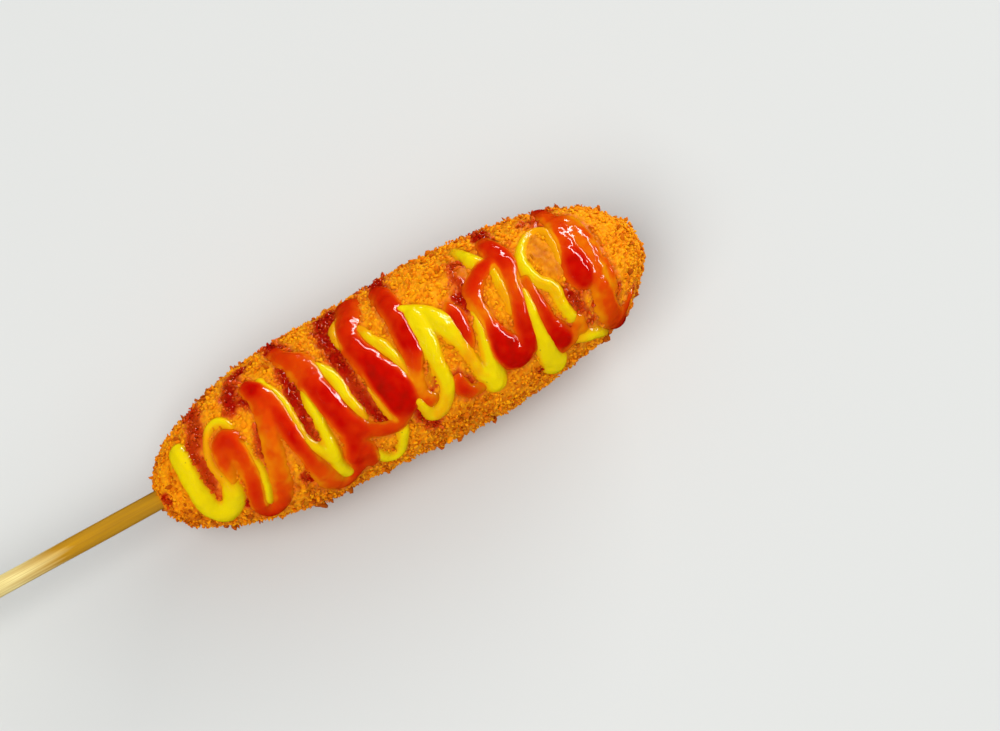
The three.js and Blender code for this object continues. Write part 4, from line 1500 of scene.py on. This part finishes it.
class CORNDOG_OT_stick(bpy.types.Operator):
    """Adds the bamboo stick"""

    bl_idname = "corndog.stick"
    bl_label = "Stick"

    SIDES = 48
    CUTS = 99
    LONGEST_SHORT_EDGE = 0.1  # metres: only the edges along the stick are longer
    # How fibres and turning marks are stretched along the stick.
    FIBRE_STRETCH, MARK_STRETCH = (0.03, 1, 1), (0.1, 1, 1)

    def execute(self, context):
        sizes = context.scene.corn_dog_stick
        low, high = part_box("stick")
        start_piece()
        bpy.ops.mesh.primitive_cylinder_add(
            vertices=self.SIDES,
            radius=sizes.diameter / 2,
            depth=high.x - low.x,
            location=((low.x + high.x) / 2, 0, (low.z + high.z) / 2),
            rotation=(0, math.pi / 2, 0),
        )
        stick = name_piece("stick_bamboo")
        mesh = stick.data
        bpy.ops.object.transform_apply(location=True, rotation=True, scale=True)
        rim = {"offset": sizes.rim, "segments": 3, "affect": "EDGES"}
        edit_edges(mesh, lambda a, b: abs(a.x - b.x) < MM, bpy.ops.mesh.bevel, **rim)
        edit_edges(
            mesh,
            lambda a, b: abs(a.x - b.x) > self.LONGEST_SHORT_EDGE,
            bpy.ops.mesh.subdivide,
            number_cuts=self.CUTS,
        )
        self.split_fibres(mesh)
        face_outwards()
        bpy.ops.object.shade_smooth_by_angle(angle=math.radians(40))
        finish_piece(stick, "stick", turned_bamboo(sizes))
        return {"FINISHED"}

    def split_fibres(self, mesh):
        """Makes the turned stick slightly uneven, with shallow grooves between its fibres."""
        points = read_points(mesh)
        grooves = soft_noise(points * self.FIBRE_STRETCH, fibres=0.05)
        grooves += soft_noise(points * self.MARK_STRETCH, turning_marks=0.07)
        radii = np.hypot(points[:, 1], points[:, 2] - AXIS_HEIGHT)
        share = 1 + grooves / np.maximum(radii, 1)
        points[:, 1] *= share
        points[:, 2] = AXIS_HEIGHT + (points[:, 2] - AXIS_HEIGHT) * share
        write_points(mesh, points)


class CORNDOG_OT_stage(bpy.types.Operator):
    """Adds the floor, the lights and the camera"""

    bl_idname = "corndog.stage"
    bl_label = "Stage"

    # The body's middle in the view, and in metres where the view's own middle is from it.
    AIM_STATION = 80.0
    AIM_RIGHT = 0.0288
    AIM_UP = 0.0009
    # Where each light stands from the body in the view, to the right, to the far side and
    # up, and how large it is, in metres.
    WINDOW = ((0.98, 1.21, 0.68), (2.4, 0.2))
    FILL = ((-0.4, -0.7, 1.4), (1.2, 1.2))
    FLOOR_SIZE = 4
    SENSOR_WIDTH = 36

    def execute(self, context):
        scene = context.scene
        sizes = scene.corn_dog_stage
        self.add_floor(sizes)
        self.add_sky(scene, sizes)
        aim = Vector(((self.AIM_STATION - FLAT_STATION) * MM, 0, AXIS_HEIGHT * MM))
        level = math.cos(sizes.elevation)
        toward = Vector(
            (
                level * math.cos(sizes.azimuth),
                level * math.sin(sizes.azimuth),
                math.sin(sizes.elevation),
            )
        )
        right = (-toward).cross((0, 0, 1)).normalized()
        up = right.cross(-toward)
        seen = aim + right * self.AIM_RIGHT + up * self.AIM_UP
        self.add_camera(scene, sizes, seen + toward * sizes.distance, seen)
        axes = (right, Vector((up.x, up.y, 0)).normalized(), Vector((0, 0, 1)))
        self.add_light("window", aim, axes, *self.WINDOW, sizes.window_power)
        fill = self.add_light("fill", aim, axes, *self.FILL, sizes.fill_power)
        fill.visible_glossy = False
        scene.view_settings.view_transform = "Standard"
        return {"FINISHED"}

    def add_floor(self, sizes):
        start_piece()
        bpy.ops.mesh.primitive_plane_add(size=self.FLOOR_SIZE)
        floor = name_piece("floor")
        # Matt painted board: plain and pale.
        tone = (*sizes.floor, 1)
        material, _ = start_material("painted_board", Base_Color=tone, Roughness=0.7)
        floor.data.materials.append(material)
        floor.visible_glossy = False

    def add_sky(self, scene, sizes):
        scene.world = bpy.data.worlds.new("studio")
        scene.world.use_nodes = True
        sky = scene.world.node_tree.nodes["Background"]
        sky.inputs["Color"].default_value = (*sizes.sky, 1)
        sky.inputs["Strength"].default_value = sizes.sky_power
        scene.world.cycles_visibility.glossy = False

    def add_camera(self, scene, sizes, place, aim):
        start_piece()
        bpy.ops.object.camera_add(location=place, rotation=facing(place, aim))
        camera = name_piece("camera")
        camera.data.sensor_width = self.SENSOR_WIDTH
        camera.data.lens = self.SENSOR_WIDTH * sizes.distance / sizes.view_width
        camera.data.clip_start = 0.01
        scene.camera = camera

    def add_light(self, name, aim, axes, steps, size, power):
        place = aim + axes[0] * steps[0] + axes[1] * steps[1] + axes[2] * steps[2]
        start_piece()
        bpy.ops.object.light_add(type="AREA", location=place, rotation=facing(place, aim))
        light = name_piece(name)
        light.data.shape = "RECTANGLE"
        light.data.size, light.data.size_y = size
        light.data.energy = power
        return light


def facing(place, aim):
    """The rotation that turns a camera or a light at a place to its aim."""
    return (aim - place).to_track_quat("-Z", "Y").to_euler()


class CORNDOG_PT_panel(bpy.types.Panel):
    """Lists the pieces of the corn dog"""

    bl_label = "Corn Dog"
    bl_space_type = "VIEW_3D"
    bl_region_type = "UI"
    bl_category = "Corn Dog"

    def draw(self, context):
        for group in (getattr(context.scene, name) for name in GROUPS):
            box = self.layout.box()
            for name in group.bl_rna.properties.keys():
                if name not in ("rna_type", "name"):
                    box.prop(group, name)
        for piece in OPERATORS:
            self.layout.operator(piece.bl_idname)


GROUPS = {
    "corn_dog_crust": CornDogCrust,
    "corn_dog_sauces": CornDogSauces,
    "corn_dog_stick": CornDogStick,
    "corn_dog_stage": CornDogStage,
}
OPERATORS = (
    CORNDOG_OT_crust,
    CORNDOG_OT_crumbs,
    CORNDOG_OT_mustard,
    CORNDOG_OT_ketchup,
    CORNDOG_OT_stick,
    CORNDOG_OT_stage,
)


def register():
    for kind in (*GROUPS.values(), *OPERATORS, CORNDOG_PT_panel):
        bpy.utils.register_class(kind)
    for name, group in GROUPS.items():
        setattr(bpy.types.Scene, name, bpy.props.PointerProperty(type=group))


def unregister():
    for name in GROUPS:
        delattr(bpy.types.Scene, name)
    for kind in (CORNDOG_PT_panel, *reversed(OPERATORS), *reversed(GROUPS.values())):
        bpy.utils.unregister_class(kind)


def main():
    register()
    bpy.ops.corndog.crust()
    bpy.ops.corndog.crumbs()
    bpy.ops.corndog.mustard()
    bpy.ops.corndog.ketchup()
    bpy.ops.corndog.stick()
    bpy.ops.corndog.stage()


if __name__ == "__main__":
    main()
